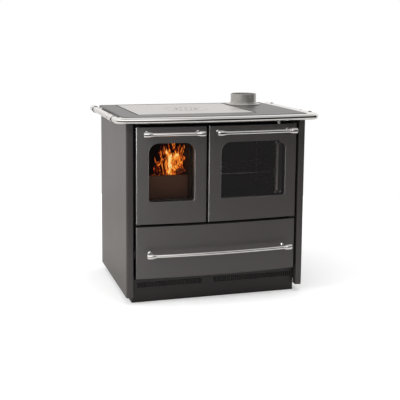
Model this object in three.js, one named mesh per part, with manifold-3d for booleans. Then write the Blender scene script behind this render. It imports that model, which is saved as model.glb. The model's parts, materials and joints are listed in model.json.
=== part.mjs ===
// Free-standing wood cookstove with a bowed front: firebox door on the left, oven door on the
// right, a wood drawer below them, a slotted plinth, a hob with lift-out ring and lid, a flue
// collar and a towel rail round three sides. Millimetres, +X right, -Y front, +Z up.
// Pieces are drawn with y = 0 at the plane through the outer edges of the fronts; the whole
// stove is then shifted so that the origin lies under the centre of its bounding box.
import * as THREE from "three";
import { mergeVertices } from "three/addons/utils/BufferGeometryUtils.js";
import Module from "manifold-3d";

const wasm = await Module();
wasm.setup();

// ---------------------------------------------------------------- driving dimensions
const fit = 0.3; // clearance left where two pieces touch
const hobTop = 860; // cooking surface above the floor
const bodyHalf = 429; // half width over the side panels
const bodyDepth = 620; // from the plane of the fronts to the back
const bow = 19.4; // how far the fronts bulge at the middle
const sheet = 2; // casing sheet
const thinSheet = 1.5; // drawer and ash pan sheet

const postWidth = 32; // front face of each side panel
const postFace = 1; // how far the posts lie behind the fronts' plane
const postReturn = 35; // depth of the return inside each post
const postRadius = 10;
const rearFlange = 16;
const panelBottom = 34; // side panels stop short of the floor

const topFrameOverhang = 11; // beyond the side panels
const topFrameHalf = bodyHalf + topFrameOverhang;
const topFrameHeight = 28;
const topFrameLead = 12; // how far its front edge stands before the fronts
const topFrameEdge = 6; // rounding of its edges
const topFrameWeb = 12;
const topFrameSkirt = 14;
const topCornerRadius = 30;

const frontSideGap = 13; // between the posts and the fronts
const frontHalf = bodyHalf - postWidth - frontSideGap; // half width over doors and drawer
const doorTopGap = 19.6;
const doorHeight = 440;
const drawerGap = 12.6;
const drawerHeight = 239.2;
const plinthGap = 8.6;
const doorTop = hobTop - topFrameHeight - doorTopGap;
const doorBottom = doorTop - doorHeight;
const drawerTop = doorBottom - drawerGap;
const drawerBottom = drawerTop - drawerHeight;
const fireDoorRight = -61.2;
const doorGap = 10.6;
const ovenDoorLeft = fireDoorRight + doorGap;
const panDepth = 18; // how far the folded edges of a front reach back
const panRadius = 4.5;

const plinthInset = 31.3;
const plinthHalf = bodyHalf - plinthInset;
const plinthTop = drawerBottom - plinthGap;
const plinthSetback = 36;
const plinthReturn = 16;
const footFlange = 24; // folded in under the base so that it stands flat
const slotWidth = 5;
const slotHeight = 24;
const slotPitch = 10;
const slotDrop = 19; // from the plinth's top to the vent slots
const slotsLeftCount = 31;
const slotsRightCount = 39;
const slotsLeftStart = -367;
const slotsRightStart = 0;

// Window edges measured from the edges of their doors.
const fireWindow = {
  left: -frontHalf + 56,
  right: fireDoorRight - 55,
  bottom: doorBottom + 100.6,
  top: doorTop - 71.4,
};
const ovenWindow = {
  left: ovenDoorLeft + 58.6,
  right: frontHalf - 55,
  bottom: doorBottom + 104.6,
  top: doorTop - 73.4,
};
const windowTopRadius = 46;
const windowBottomRadius = 12;
const windowRimBack = 2.5; // where the folded rim of a window ends
const glassThickness = 4;
const glassMargin = 12;
const doorFrameThickness = 6;
const doorFrameInset = 16;
const doorFrameRib = 4; // raised rib that holds the seal
const sealSection = 8;
const sealInset = 4; // from the edge of the door frame

const frameFace = 26; // front of the sheet that the doors close against
const frameThickness = 4;
const frameHalf = bodyHalf - postWidth - fit;
const wallHalf = frameHalf - 1; // outer face of the inner walls
const fireMouth = {
  left: -frontHalf + 39,
  right: fireDoorRight - 38.8,
  bottom: doorBottom + 29.6,
  top: doorTop - 37.4,
};
const ovenMouth = {
  left: ovenDoorLeft + 38.6,
  right: frontHalf - 38,
  bottom: doorBottom + 70.6,
  top: doorTop - 46.4,
};
const drawerMouth = { half: frontHalf + 4, bottom: drawerBottom + 7.4, top: drawerTop - 7.8 };

const midPlateBottom = doorBottom + 22.6;
const midPlateThickness = 3;
const hingeInset = 10; // hinge axis from the outer edge of a door
const hingeBack = 8; // hinge axis behind the fronts' plane
const hingePinRadius = 4;
const hingePinLength = 13;
const hingePlate = 3;
const hingeBore = hingePinRadius + 0.45;

const handleStandoff = 54;
const handleBarRadius = 8.5;
const handleEndLength = 41;
const handleEndRadius = 13.5;
const handlePostRadius = 6.5;
const doorHandleInset = 42; // middle of a handle end from the edge of its door
const drawerHandleInset = 57;
const doorHandleDrop = 26.4;
const doorHandleHeight = doorTop - doorHandleDrop;
const drawerHandleHeight = (drawerBottom + drawerTop) / 2 - 1;
const fireHandle = { left: -frontHalf + doorHandleInset, right: fireDoorRight - doorHandleInset };
const ovenHandle = { left: ovenDoorLeft + doorHandleInset, right: frontHalf - doorHandleInset };
const drawerHandle = { left: -frontHalf + drawerHandleInset, right: frontHalf - drawerHandleInset };

const flueCentre = { x: 303, y: bodyDepth - 113 };
const flueRadius = 66;
const flueWall = 3.5;
const flueHeight = 56.6; // above the hob
const flueFlange = { radius: 88, thickness: 5 };
const flueFoot = { radius: 69.5, height: 7 };

const hobSeam = 3; // gap round the hot plate
const hobLedge = 12;
const hobPlate = {
  left: -topFrameHalf + 85,
  right: flueCentre.x - flueFlange.radius - hobSeam - 4,
  front: 85,
  back: bodyDepth - 30,
  thickness: 8,
};
const ringCentre = { x: -62.5, y: 322 };
const ringOuter = 106;
const ringStep = 8;
const ringGap = 0.8; // between ring, lid and plate
const lidOuter = 65;
const dimpleCircle = 51;
const dimpleCount = 12;
const dimpleRadius = 3.4;

const railRadius = 14;
const railGap = 33; // from the edge of the hob frame to the rail's centre line
const railHalf = topFrameHalf + railGap;
const railStandoff = topFrameLead + railGap;
const railHeight = hobTop - 13.4;
const railBackEnd = bodyDepth - railRadius;
const railBend = 42;
const railJoint = { y: 157, width: 5, raise: 1.3 }; // ring where tube and corner meet
const bracketFrontY = 60;
const bracketRearY = bodyDepth - 83;
const bracketRing = 3.4;
const bracketWidth = 13;
const bracketStem = 6;

const shellWall = 4;
const fireShell = {
  left: fireMouth.left - 3.5,
  right: fireMouth.right + 3.5,
  back: 445,
  top: hobTop - 60,
  smokeEdge: hobTop - 88,
};
const fireLeft = fireShell.left + shellWall;
const fireRight = fireShell.right - shellWall;
const fireBack = fireShell.back - shellWall;
const grateTop = midPlateBottom + 79;
const grateThickness = 12;
const grateSlot = { width: 10, length: 145, gap: 15, count: 8 };
const brickThickness = 25;
const brickTop = fireShell.top - 40;
const retainerTop = grateTop + 107;
const retainerFront = 60;
const retainerThickness = 7;
const ashPanHeight = 46;

const ovenWall = 3;
const ovenBack = 440;
const ovenTop = ovenMouth.top + ovenWall + 0.7;
const rackWire = 2.5;
const rackLevels = [59, 134, 209].map((rise) => ovenMouth.bottom + rise);
const rackPairHalf = 7;
const rackFront = 62;
const rackRear = ovenBack - 22;
const rackFromWall = 8.5; // runner wires from the oven's side wall
const shelfFromWall = 9.6;

const runner = { room: 27.7, gap: 7.2, lip: 7, rise: 69, height: 38, front: 44, slideLead: 6 };
const runnerBack = bodyDepth - 72;
const drawerBoxHalf = wallHalf - sheet - runner.room;
const drawerBoxBack = bodyDepth - 60;
const drawerBoxBottom = drawerBottom + 15.4;
const drawerBoxTop = drawerMouth.top - 22;
const runnerBottom = drawerBoxBottom + runner.rise;
const runnerTop = runnerBottom + runner.height;

const partitionFront = 400;
const damper = { x: 287, rise: 9.6, rodRadius: 4, knobRadius: 7, plateHalf: 62, plate: 3 };
const damperHeight = doorTop + damper.rise;
const partitionLeft = damper.x - damper.plateHalf - 35;

const frontRadius = (frontHalf ** 2 + bow ** 2) / (2 * bow);
const frontReach = bow + handleStandoff + handleEndRadius;
const stoveShift = -(bodyDepth - frontReach) / 2; // puts the bounding box's middle at y = 0
const panelTop = hobTop - topFrameHeight - fit;

// ---------------------------------------------------------------- shapes and solids
// y of a surface parallel to the bowed fronts, a given distance behind them.
function bowed(x, behind = 0) {
  return frontRadius - Math.sqrt(frontRadius ** 2 - x ** 2) - bow + behind;
}

// A closed geometry as a solid with its faces pointing out.
function solid(geometry) {
  const bare = geometry.index ? geometry.toNonIndexed() : geometry.clone();
  bare.deleteAttribute("normal");
  bare.deleteAttribute("uv");
  const merged = mergeVertices(bare, 1e-4);
  const corners = Uint32Array.from(merged.index.array);
  const make = () =>
    new wasm.Manifold(
      new wasm.Mesh({
        numProp: 3,
        vertProperties: Float32Array.from(merged.attributes.position.array),
        triVerts: corners,
      }),
    );
  const made = make();
  if (made.volume() > 0) return made;
  for (let i = 0; i < corners.length; i += 3) {
    [corners[i + 1], corners[i + 2]] = [corners[i + 2], corners[i + 1]];
  }
  return make();
}

function geometryOf(piece) {
  const mesh = piece.getMesh();
  const geometry = new THREE.BufferGeometry();
  const positions = new Float32Array(mesh.numVert * 3);
  for (let i = 0; i < mesh.numVert; i++) {
    positions.set(mesh.vertProperties.subarray(i * mesh.numProp, i * mesh.numProp + 3), i * 3);
  }
  geometry.setAttribute("position", new THREE.BufferAttribute(positions, 3));
  geometry.setIndex(new THREE.BufferAttribute(Uint32Array.from(mesh.triVerts), 1));
  geometry.computeVertexNormals();
  return geometry;
}

const joined = (...pieces) => pieces.reduce((whole, piece) => whole.add(piece));
const cut = (whole, ...tools) => tools.reduce((rest, tool) => rest.subtract(tool), whole);

function box(x0, x1, y0, y1, z0, z1) {
  const block = new THREE.BoxGeometry(x1 - x0, y1 - y0, z1 - z0);
  return solid(block.translate((x0 + x1) / 2, (y0 + y1) / 2, (z0 + z1) / 2));
}

function polygon(points) {
  return new THREE.Shape(points.map(([a, b]) => new THREE.Vector2(a, b)));
}

// Extrusions of a shape drawn in plan (x, y), in elevation (x, z) or from the side (y, z).
function prismZ(shape, z0, z1, curveSegments = 3) {
  const options = { depth: z1 - z0, bevelEnabled: false, curveSegments };
  return solid(new THREE.ExtrudeGeometry(shape, options).translate(0, 0, z0));
}

function prismY(shape, y0, y1, curveSegments = 3) {
  const options = { depth: y1 - y0, bevelEnabled: false, curveSegments };
  return solid(new THREE.ExtrudeGeometry(shape, options).rotateX(Math.PI / 2).translate(0, y1, 0));
}

// A cylinder between two points.
function rod(from, to, radius, sides = 12) {
  const start = new THREE.Vector3(...from);
  const along = new THREE.Vector3(...to).sub(start);
  const geometry = new THREE.CylinderGeometry(radius, radius, along.length(), sides);
  const turn = new THREE.Quaternion().setFromUnitVectors(
    new THREE.Vector3(0, 1, 0),
    along.clone().normalize(),
  );
  return solid(geometry.applyQuaternion(turn).translate(...start.addScaledVector(along, 0.5)));
}

// A turned piece: the profile holds [radius, height] pairs and closes on itself or on the axis.
function turned(profile, x, y, z, sides = 32) {
  const points = profile.map(([r, h]) => new THREE.Vector2(r, h));
  const geometry = new THREE.LatheGeometry(points, sides).rotateX(Math.PI / 2);
  return solid(geometry.translate(x, y, z));
}

function tube(points, radius, sides, steps) {
  const path = new THREE.CatmullRomCurve3(points.map((p) => new THREE.Vector3(...p)));
  const section = new THREE.Shape();
  section.absarc(0, 0, radius, 0, Math.PI * 2);
  const options = { steps, curveSegments: sides / 2, extrudePath: path, bevelEnabled: false };
  return solid(new THREE.ExtrudeGeometry(section, options));
}

// Rectangle with its own radius at the upper and the lower corners.
function roundedRect(left, right, bottom, top, topRadius, bottomRadius = topRadius) {
  const shape = new THREE.Shape();
  shape.moveTo(left + bottomRadius, bottom);
  shape.lineTo(right - bottomRadius, bottom);
  shape.absarc(right - bottomRadius, bottom + bottomRadius, bottomRadius, -Math.PI / 2, 0);
  shape.lineTo(right, top - topRadius);
  shape.absarc(right - topRadius, top - topRadius, topRadius, 0, Math.PI / 2);
  shape.lineTo(left + topRadius, top);
  shape.absarc(left + topRadius, top - topRadius, topRadius, Math.PI / 2, Math.PI);
  shape.lineTo(left, bottom + bottomRadius);
  shape.absarc(left + bottomRadius, bottom + bottomRadius, bottomRadius, Math.PI, Math.PI * 1.5);
  return shape;
}

// Points of an open path whose corners are rounded: each entry is [x, y, radius].
function roundedPath(corners, arcSteps = 3) {
  const points = [];
  corners.forEach(([x, y, radius = 0], i) => {
    const here = new THREE.Vector2(x, y);
    if (!radius || i === 0 || i === corners.length - 1) {
      points.push(here);
      return;
    }
    const back = new THREE.Vector2(corners[i - 1][0], corners[i - 1][1]).sub(here).normalize();
    const ahead = new THREE.Vector2(corners[i + 1][0], corners[i + 1][1]).sub(here).normalize();
    const half = Math.acos(THREE.MathUtils.clamp(back.dot(ahead), -1, 1)) / 2;
    const reach = radius / Math.tan(half);
    const start = here.clone().addScaledVector(back, reach);
    const end = here.clone().addScaledVector(ahead, reach);
    const curve = new THREE.QuadraticBezierCurve(start, here, end);
    points.push(...curve.getPoints(arcSteps));
  });
  return points;
}

// The same path moved sideways by a distance, to the left of its direction.
function offsetPath(points, distance) {
  return points.map((point, i) => {
    const before = points[Math.max(i - 1, 0)];
    const after = points[Math.min(i + 1, points.length - 1)];
    const into = point.clone().sub(before);
    const out = after.clone().sub(point);
    if (!into.lengthSq()) into.copy(out);
    if (!out.lengthSq()) out.copy(into);
    into.normalize();
    out.normalize();
    const bisector = into.clone().add(out).normalize();
    const normal = new THREE.Vector2(-bisector.y, bisector.x);
    const stretch = distance / Math.max(bisector.dot(into), 0.5);
    return point.clone().addScaledVector(normal, stretch);
  });
}

// Folded sheet seen in plan: its outer face follows the path, its thickness lies to the left.
function foldedSheet(path, thickness) {
  return new THREE.Shape([...path, ...offsetPath(path, thickness).reverse()]);
}

// ---------------------------------------------------------------- assembly
const stove = new THREE.Group();
stove.position.y = stoveShift;

const finishes = {
  casing: { color: 0x4b4745, roughness: 0.42, metalness: 0.55 },
  black: { color: 0x1b1a1a, roughness: 0.55, metalness: 0.3 },
  hob: { color: 0xb9b7b4, roughness: 0.35, metalness: 0.8 },
  castIron: { color: 0x35322f, roughness: 0.7, metalness: 0.4 },
  chrome: { color: 0xd8d9da, roughness: 0.12, metalness: 1 },
  enamel: { color: 0x26262a, roughness: 0.3, metalness: 0.1 },
  brick: { color: 0xb49c7c, roughness: 0.95, metalness: 0 },
  glass: { color: 0x332f2c, roughness: 0.05, metalness: 0 },
  rope: { color: 0x8a857c, roughness: 1, metalness: 0 },
  zinc: { color: 0x9fa2a3, roughness: 0.4, metalness: 0.9 },
};

function add(name, piece, finish) {
  const mesh = new THREE.Mesh(geometryOf(piece), new THREE.MeshStandardMaterial(finishes[finish]));
  mesh.name = name;
  stove.add(mesh);
  return mesh;
}

// ---------------------------------------------------------------- base, casing and carcass
function plinthFront() {
  const path = roundedPath([
    [-plinthHalf, plinthSetback + plinthReturn],
    [-plinthHalf, plinthSetback, 3],
    [plinthHalf, plinthSetback, 3],
    [plinthHalf, plinthSetback + plinthReturn],
  ]);
  const plate = prismZ(foldedSheet(path, sheet), 0, plinthTop - 1);
  const high = plinthTop - slotDrop;
  const [y0, y1] = [plinthSetback - 5, plinthSetback + sheet + 5];
  const slot = (x) => box(x - slotWidth / 2, x + slotWidth / 2, y0, y1, high - slotHeight, high);
  const starts = [
    [slotsLeftStart, slotsLeftCount],
    [slotsRightStart, slotsRightCount],
  ];
  const slots = starts.flatMap(([start, count]) =>
    Array.from({ length: count }, (_, i) => slot(start + i * slotPitch)),
  );
  return cut(plate, ...slots);
}

function baseFrame() {
  const start = plinthSetback + plinthReturn + fit;
  const back = bodyDepth - 15;
  const path = roundedPath([
    [-plinthHalf, start],
    [-plinthHalf, back, 3],
    [plinthHalf, back, 3],
    [plinthHalf, start],
  ]);
  const skirt = prismZ(foldedSheet(path, -sheet), 0, plinthTop);
  const front = plinthSetback + sheet + fit;
  const inside = plinthHalf - sheet - fit;
  const shelf = box(-inside, inside, front, start + 1, plinthTop - sheet, plinthTop);
  const [x1, y1] = [plinthHalf - 1, back - 1];
  const floor = box(-x1, x1, start, y1, plinthTop - sheet, plinthTop);
  const foot = cut(
    box(-x1, x1, start, y1, 0, sheet),
    box(-x1 + footFlange, x1 - footFlange, start + footFlange, y1 - footFlange, -5, sheet + 5),
  );
  return joined(skirt, shelf, floor, foot);
}

function sidePanel(side) {
  const inner = bodyHalf - postWidth;
  const path = roundedPath([
    [side * (bodyHalf - rearFlange), bodyDepth],
    [side * bodyHalf, bodyDepth, 3],
    [side * bodyHalf, postFace, postRadius],
    [side * inner, postFace, 4],
    [side * inner, postReturn],
  ], 4);
  return prismZ(foldedSheet(path, -side * sheet), panelBottom, panelTop);
}

function backPanel() {
  const half = bodyHalf - sheet - fit;
  const front = bodyDepth - 2 * sheet - fit;
  const plate = box(-half, half, front, front + sheet, panelBottom, panelTop - fit);
  const vents = [];
  for (const side of [-1, 1]) {
    for (let row = 0; row < 6; row++) {
      const middle = side * 205;
      const z = doorBottom + 48 + row * 42;
      vents.push(prismY(roundedRect(middle - 95, middle + 95, z, z + 10, 5), front - 5, front + 8, 1));
    }
  }
  return cut(plate, ...vents);
}

function frontFrame() {
  const back = frameFace + frameThickness;
  const plate = box(-frameHalf, frameHalf, frameFace, back, plinthTop + fit, panelTop);
  const mouths = [
    roundedRect(fireMouth.left, fireMouth.right, fireMouth.bottom, fireMouth.top, 8),
    roundedRect(ovenMouth.left, ovenMouth.right, ovenMouth.bottom, ovenMouth.top, 8),
    roundedRect(-drawerMouth.half, drawerMouth.half, drawerMouth.bottom, drawerMouth.top, 4),
  ];
  const holes = mouths.map((shape) => prismY(shape, frameFace - 5, back + 5, 1));
  const rodHole = rod([damper.x, frameFace - 5, damperHeight], [damper.x, back + 5, damperHeight], damper.rodRadius + 0.6);
  return cut(plate, ...holes, rodHole);
}

function innerWall(side) {
  const front = frameFace + frameThickness + fit;
  const back = bodyDepth - 2 * sheet - 2 * fit;
  const outer = side * wallHalf;
  const inner = side * (wallHalf - sheet);
  return box(Math.min(outer, inner), Math.max(outer, inner), front, back, plinthTop + fit, panelTop);
}

function midPlate() {
  const half = wallHalf - sheet - fit;
  const front = frameFace + frameThickness + fit;
  const back = bodyDepth - 2 * sheet - 2 * fit;
  return box(-half, half, front, back, midPlateBottom, midPlateBottom + midPlateThickness);
}

add("plinth_front", plinthFront(), "black");
add("base_frame", baseFrame(), "black");
add("side_panel_left", sidePanel(-1), "casing");
add("side_panel_right", sidePanel(1), "casing");
add("back_panel", backPanel(), "casing");
add("front_frame", frontFrame(), "black");
add("inner_wall_left", innerWall(-1), "black");
add("inner_wall_right", innerWall(1), "black");
add("mid_plate", midPlate(), "black");

// ---------------------------------------------------------------- fronts with folded edges
// Outline of a front in plan, from its left back edge round the bow to its right back edge.
function frontOutline(left, right) {
  const steps = Math.max(6, Math.round((right - left) / 48));
  const corners = [[left, panDepth]];
  corners.push([left, bowed(left), panRadius]);
  for (let i = 1; i < steps; i++) {
    const x = left + ((right - left) * i) / steps;
    corners.push([x, bowed(x)]);
  }
  corners.push([right, bowed(right), panRadius]);
  corners.push([right, panDepth]);
  return roundedPath(corners);
}

function frontPan(left, right, bottom, top) {
  const outline = frontOutline(left, right);
  const skin = prismZ(foldedSheet(outline, sheet), bottom, top);
  const lid = new THREE.Shape(outline);
  return joined(skin, prismZ(lid, bottom, bottom + sheet), prismZ(lid, top - sheet, top));
}

function windowShape(opening, grow = 0) {
  return roundedRect(
    opening.left - grow,
    opening.right + grow,
    opening.bottom - grow,
    opening.top + grow,
    windowTopRadius + grow,
    windowBottomRadius + grow,
  );
}

function doorPanel(left, right, opening, hingeX) {
  const pan = frontPan(left, right, doorBottom, doorTop);
  const block = prismZ(new THREE.Shape(frontOutline(left, right)), doorBottom, doorTop);
  const outer = prismY(windowShape(opening, sheet), -60, windowRimBack);
  const inner = prismY(windowShape(opening), -60, windowRimBack + 5);
  const rim = cut(outer, inner).intersect(block);
  const bores = rod([hingeX, hingeBack, doorBottom - 5], [hingeX, hingeBack, doorTop + 5], hingeBore, 16);
  return cut(joined(cut(pan, outer), rim), bores);
}

function doorFrame(left, right, opening) {
  const front = windowRimBack + glassThickness + 2 * fit;
  const back = front + doorFrameThickness;
  const inset = doorFrameInset;
  const outline = roundedRect(left + inset, right - inset, doorBottom + inset, doorTop - inset, 10);
  const plate = prismY(outline, front, back, 1);
  const ribAt = inset + sealInset;
  const rib = roundedRect(left + ribAt, right - ribAt, doorBottom + ribAt, doorTop - ribAt, 8);
  const ribInner = roundedRect(
    left + ribAt + sealSection,
    right - ribAt - sealSection,
    doorBottom + ribAt + sealSection,
    doorTop - ribAt - sealSection,
    4,
  );
  const ring = cut(prismY(rib, back - 1, back + doorFrameRib, 1), prismY(ribInner, back - 2, back + 9, 1));
  return cut(joined(plate, ring), prismY(windowShape(opening), front - 5, back + 5));
}

function doorSeal(left, right) {
  const front = windowRimBack + glassThickness + doorFrameThickness + doorFrameRib + 3 * fit;
  const back = frameFace - fit;
  const at = doorFrameInset + sealInset;
  const outer = roundedRect(left + at, right - at, doorBottom + at, doorTop - at, 8);
  const inner = roundedRect(
    left + at + sealSection,
    right - at - sealSection,
    doorBottom + at + sealSection,
    doorTop - at - sealSection,
    4,
  );
  return cut(prismY(outer, front, back, 1), prismY(inner, front - 2, back + 2, 1));
}

function doorGlass(opening) {
  const front = windowRimBack + fit;
  return prismY(windowShape(opening, glassMargin), front, front + glassThickness);
}

// Plate fixed to the front frame with the pin that a door turns on.
function hinge(x, atTop) {
  const plateBottom = atTop ? doorTop + 1.2 : doorBottom - 1.2 - hingePlate;
  const plateTop = plateBottom + hingePlate;
  const plate = box(x - 13, x + 13, hingeBack - 9, frameFace - fit, plateBottom, plateTop);
  const tab = box(x - 13, x + 13, frameFace - fit - hingePlate, frameFace - fit, plateBottom, plateBottom + 9);
  const lowTab = box(x - 13, x + 13, frameFace - fit - hingePlate, frameFace - fit, plateTop - 9, plateTop);
  const pinEnd = atTop ? plateBottom - hingePinLength : plateTop + hingePinLength;
  const pin = rod([x, hingeBack, (plateBottom + plateTop) / 2], [x, hingeBack, pinEnd], hingePinRadius, 16);
  return joined(plate, atTop ? tab : lowTab, pin);
}

// ---------------------------------------------------------------- handles
function handleBar(left, right, z) {
  const start = left + handleEndLength / 2 + fit;
  const end = right - handleEndLength / 2 - fit;
  const steps = Math.max(6, Math.round((end - start) / 45));
  const points = [];
  for (let i = 0; i <= steps; i++) {
    const x = start + ((end - start) * i) / steps;
    points.push([x, bowed(x, -handleStandoff), z]);
  }
  return tube(points, handleBarRadius, 12, steps);
}

// Turned end piece on the post that carries the bar; "toward" is +1 when the bar lies at +x.
function handleEnd(x, z, toward) {
  const r = handleEndRadius;
  const half = handleEndLength / 2;
  const profile = [
    [0, -half],
    [r * 0.62, -half],
    [r * 0.88, -half + 2.5],
    [r, -half + 6],
    [r, half - 13],
    [r * 0.86, half - 9],
    [r * 0.82, half - 6],
    [r * 0.82, half],
    [0, half],
  ];
  const points = profile.map(([radius, h]) => new THREE.Vector2(radius, h));
  const barrel = new THREE.LatheGeometry(points, 18).rotateZ((-toward * Math.PI) / 2);
  const y = bowed(x, -handleStandoff);
  barrel.rotateZ(Math.atan(x / frontRadius)).translate(x, y, z);
  // The post meets the bowed front at a right angle.
  const footX = x - (handleStandoff * x) / frontRadius;
  const at = (gap) => [footX + (gap * footX) / frontRadius, bowed(footX) - gap, z];
  const post = rod([x, y, z], at(fit + 1), handlePostRadius);
  const rosette = rod(at(fit + 4), at(fit), 10.5, 16);
  return joined(solid(barrel), post, rosette);
}

function addHandle(prefix, ends, z) {
  add(prefix + "_handle_bar", handleBar(ends.left, ends.right, z), "chrome");
  add(prefix + "_handle_end_left", handleEnd(ends.left, z, 1), "chrome");
  add(prefix + "_handle_end_right", handleEnd(ends.right, z, -1), "chrome");
}

const fireHingeX = -frontHalf + hingeInset;
const ovenHingeX = frontHalf - hingeInset;

add("fire_door_panel", doorPanel(-frontHalf, fireDoorRight, fireWindow, fireHingeX), "casing");
add("fire_door_frame", doorFrame(-frontHalf, fireDoorRight, fireWindow), "black");
add("fire_door_glass", doorGlass(fireWindow), "glass");
add("fire_door_seal", doorSeal(-frontHalf, fireDoorRight), "rope");
add("fire_door_hinge_top", hinge(fireHingeX, true), "zinc");
add("fire_door_hinge_bottom", hinge(fireHingeX, false), "zinc");
addHandle("fire_door", fireHandle, doorHandleHeight);

add("oven_door_panel", doorPanel(ovenDoorLeft, frontHalf, ovenWindow, ovenHingeX), "casing");
add("oven_door_frame", doorFrame(ovenDoorLeft, frontHalf, ovenWindow), "black");
add("oven_door_glass", doorGlass(ovenWindow), "glass");
add("oven_door_seal", doorSeal(ovenDoorLeft, frontHalf), "rope");
add("oven_door_hinge_top", hinge(ovenHingeX, true), "zinc");
add("oven_door_hinge_bottom", hinge(ovenHingeX, false), "zinc");
addHandle("oven_door", ovenHandle, doorHandleHeight);

// ---------------------------------------------------------------- wood drawer
function openBox(x0, x1, y0, y1, z0, z1, wall) {
  const outside = box(x0, x1, y0, y1, z0, z1);
  return cut(outside, box(x0 + wall, x1 - wall, y0 + wall, y1 - wall, z0 + wall, z1 + 5));
}

function drawerBox() {
  const front = bowed(drawerBoxHalf, sheet + fit); // its corners bear on the back of the front
  const tray = openBox(-drawerBoxHalf, drawerBoxHalf, front, drawerBoxBack, drawerBoxBottom, drawerBoxTop, thinSheet);
  const lip = 7;
  const rim = cut(
    box(-drawerBoxHalf, drawerBoxHalf, front, drawerBoxBack, drawerBoxTop - thinSheet, drawerBoxTop),
    box(-drawerBoxHalf + lip, drawerBoxHalf - lip, front + lip, drawerBoxBack - lip, drawerBoxTop - 9, drawerBoxTop + 5),
  );
  return joined(tray, rim);
}

// Telescopic slide: an outer channel on the inner wall and an inner bar on the drawer box.
function fixedRunner(side) {
  const outer = wallHalf - sheet - fit;
  const open = drawerBoxHalf + runner.lip;
  const t = 2;
  const channel = polygon([
    [outer, runnerBottom],
    [outer, runnerTop],
    [open, runnerTop],
    [open, runnerTop - t],
    [outer - t, runnerTop - t],
    [outer - t, runnerBottom + t],
    [open, runnerBottom + t],
    [open, runnerBottom],
  ].map(([x, z]) => [side * x, z]));
  return prismY(channel, runner.front, runnerBack);
}

function movingRunner(side) {
  const inner = side * (drawerBoxHalf + fit);
  const outer = side * (wallHalf - sheet - runner.gap);
  const [x0, x1] = [Math.min(inner, outer), Math.max(inner, outer)];
  const low = runnerBottom + 2 + fit;
  const high = runnerTop - 2 - fit;
  return box(x0, x1, runner.front + runner.slideLead, runnerBack - 10, low, high);
}

add("drawer_front", frontPan(-frontHalf, frontHalf, drawerBottom, drawerTop), "casing");
add("drawer_box", drawerBox(), "black");
addHandle("drawer", drawerHandle, drawerHandleHeight);
add("drawer_runner_left", fixedRunner(-1), "zinc");
add("drawer_runner_right", fixedRunner(1), "zinc");
add("drawer_slide_left", movingRunner(-1), "zinc");
add("drawer_slide_right", movingRunner(1), "zinc");

// ---------------------------------------------------------------- hob
function topFrame() {
  const half = topFrameHalf;
  const front = (x) => bowed(x, -topFrameLead);
  const corners = [
    [half, bodyDepth, 14],
    [-half, bodyDepth, 14],
    [-half, front(half), topCornerRadius],
  ];
  const steps = 16;
  for (let i = 2; i < steps - 1; i++) {
    const x = -half + (2 * half * i) / steps;
    corners.push([x, front(x)]);
  }
  corners.push([half, front(half), topCornerRadius]);
  const middle = [half, 300];
  const outline = roundedPath([middle, ...corners, middle], 4).slice(1);
  const shape = new THREE.Shape(outline);
  const bottom = hobTop - topFrameHeight;
  const plate = new THREE.ExtrudeGeometry(shape, {
    depth: topFrameHeight - 2 * topFrameEdge,
    bevelThickness: topFrameEdge,
    bevelSize: topFrameEdge,
    bevelOffset: -topFrameEdge,
    bevelSegments: 3,
  }).translate(0, 0, bottom + topFrameEdge);
  const skirt = topFrameSkirt;
  const hollow = box(
    -half + skirt,
    half - skirt,
    front(half) + skirt,
    bodyDepth - skirt,
    bottom - 5,
    hobTop - topFrameWeb,
  );
  const seat = roundedRect(
    hobPlate.left - hobSeam,
    hobPlate.right + hobSeam,
    hobPlate.front - hobSeam,
    hobPlate.back + hobSeam,
    9,
  );
  const recess = prismZ(seat, hobTop - hobPlate.thickness, hobTop + 5, 1);
  const through = box(
    hobPlate.left + hobLedge,
    hobPlate.right - hobLedge,
    hobPlate.front + hobLedge,
    hobPlate.back - hobLedge,
    bottom - 5,
    hobTop + 5,
  );
  const flueHole = rod(
    [flueCentre.x, flueCentre.y, bottom - 5],
    [flueCentre.x, flueCentre.y, hobTop + 5],
    flueRadius - flueWall,
    32,
  );
  return cut(solid(plate), hollow, recess, through, flueHole);
}

function hotPlate() {
  const bottom = hobTop - hobPlate.thickness + fit;
  const outline = roundedRect(hobPlate.left, hobPlate.right, hobPlate.front, hobPlate.back, 6);
  const plate = prismZ(outline, bottom, hobTop, 1);
  const half = hobPlate.thickness / 2;
  const wide = rod([ringCentre.x, ringCentre.y, hobTop - half], [ringCentre.x, ringCentre.y, hobTop + 5], ringOuter + ringGap, 48);
  const narrow = rod([ringCentre.x, ringCentre.y, bottom - 5], [ringCentre.x, ringCentre.y, hobTop], ringOuter - ringStep, 48);
  return cut(plate, wide, narrow);
}

// Stepped disc or ring that hangs on the ledge of the opening round it.
function hobRing() {
  const t = hobPlate.thickness / 2;
  const profile = [
    [lidOuter - ringStep, -2 * t + fit],
    [ringOuter - ringStep - ringGap, -2 * t + fit],
    [ringOuter - ringStep - ringGap, -t + fit],
    [ringOuter, -t + fit],
    [ringOuter, 0],
    [lidOuter + ringGap, 0],
    [lidOuter + ringGap, -t],
    [lidOuter - ringStep, -t],
    [lidOuter - ringStep, -2 * t + fit],
  ];
  return turned(profile, ringCentre.x, ringCentre.y, hobTop, 48);
}

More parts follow.
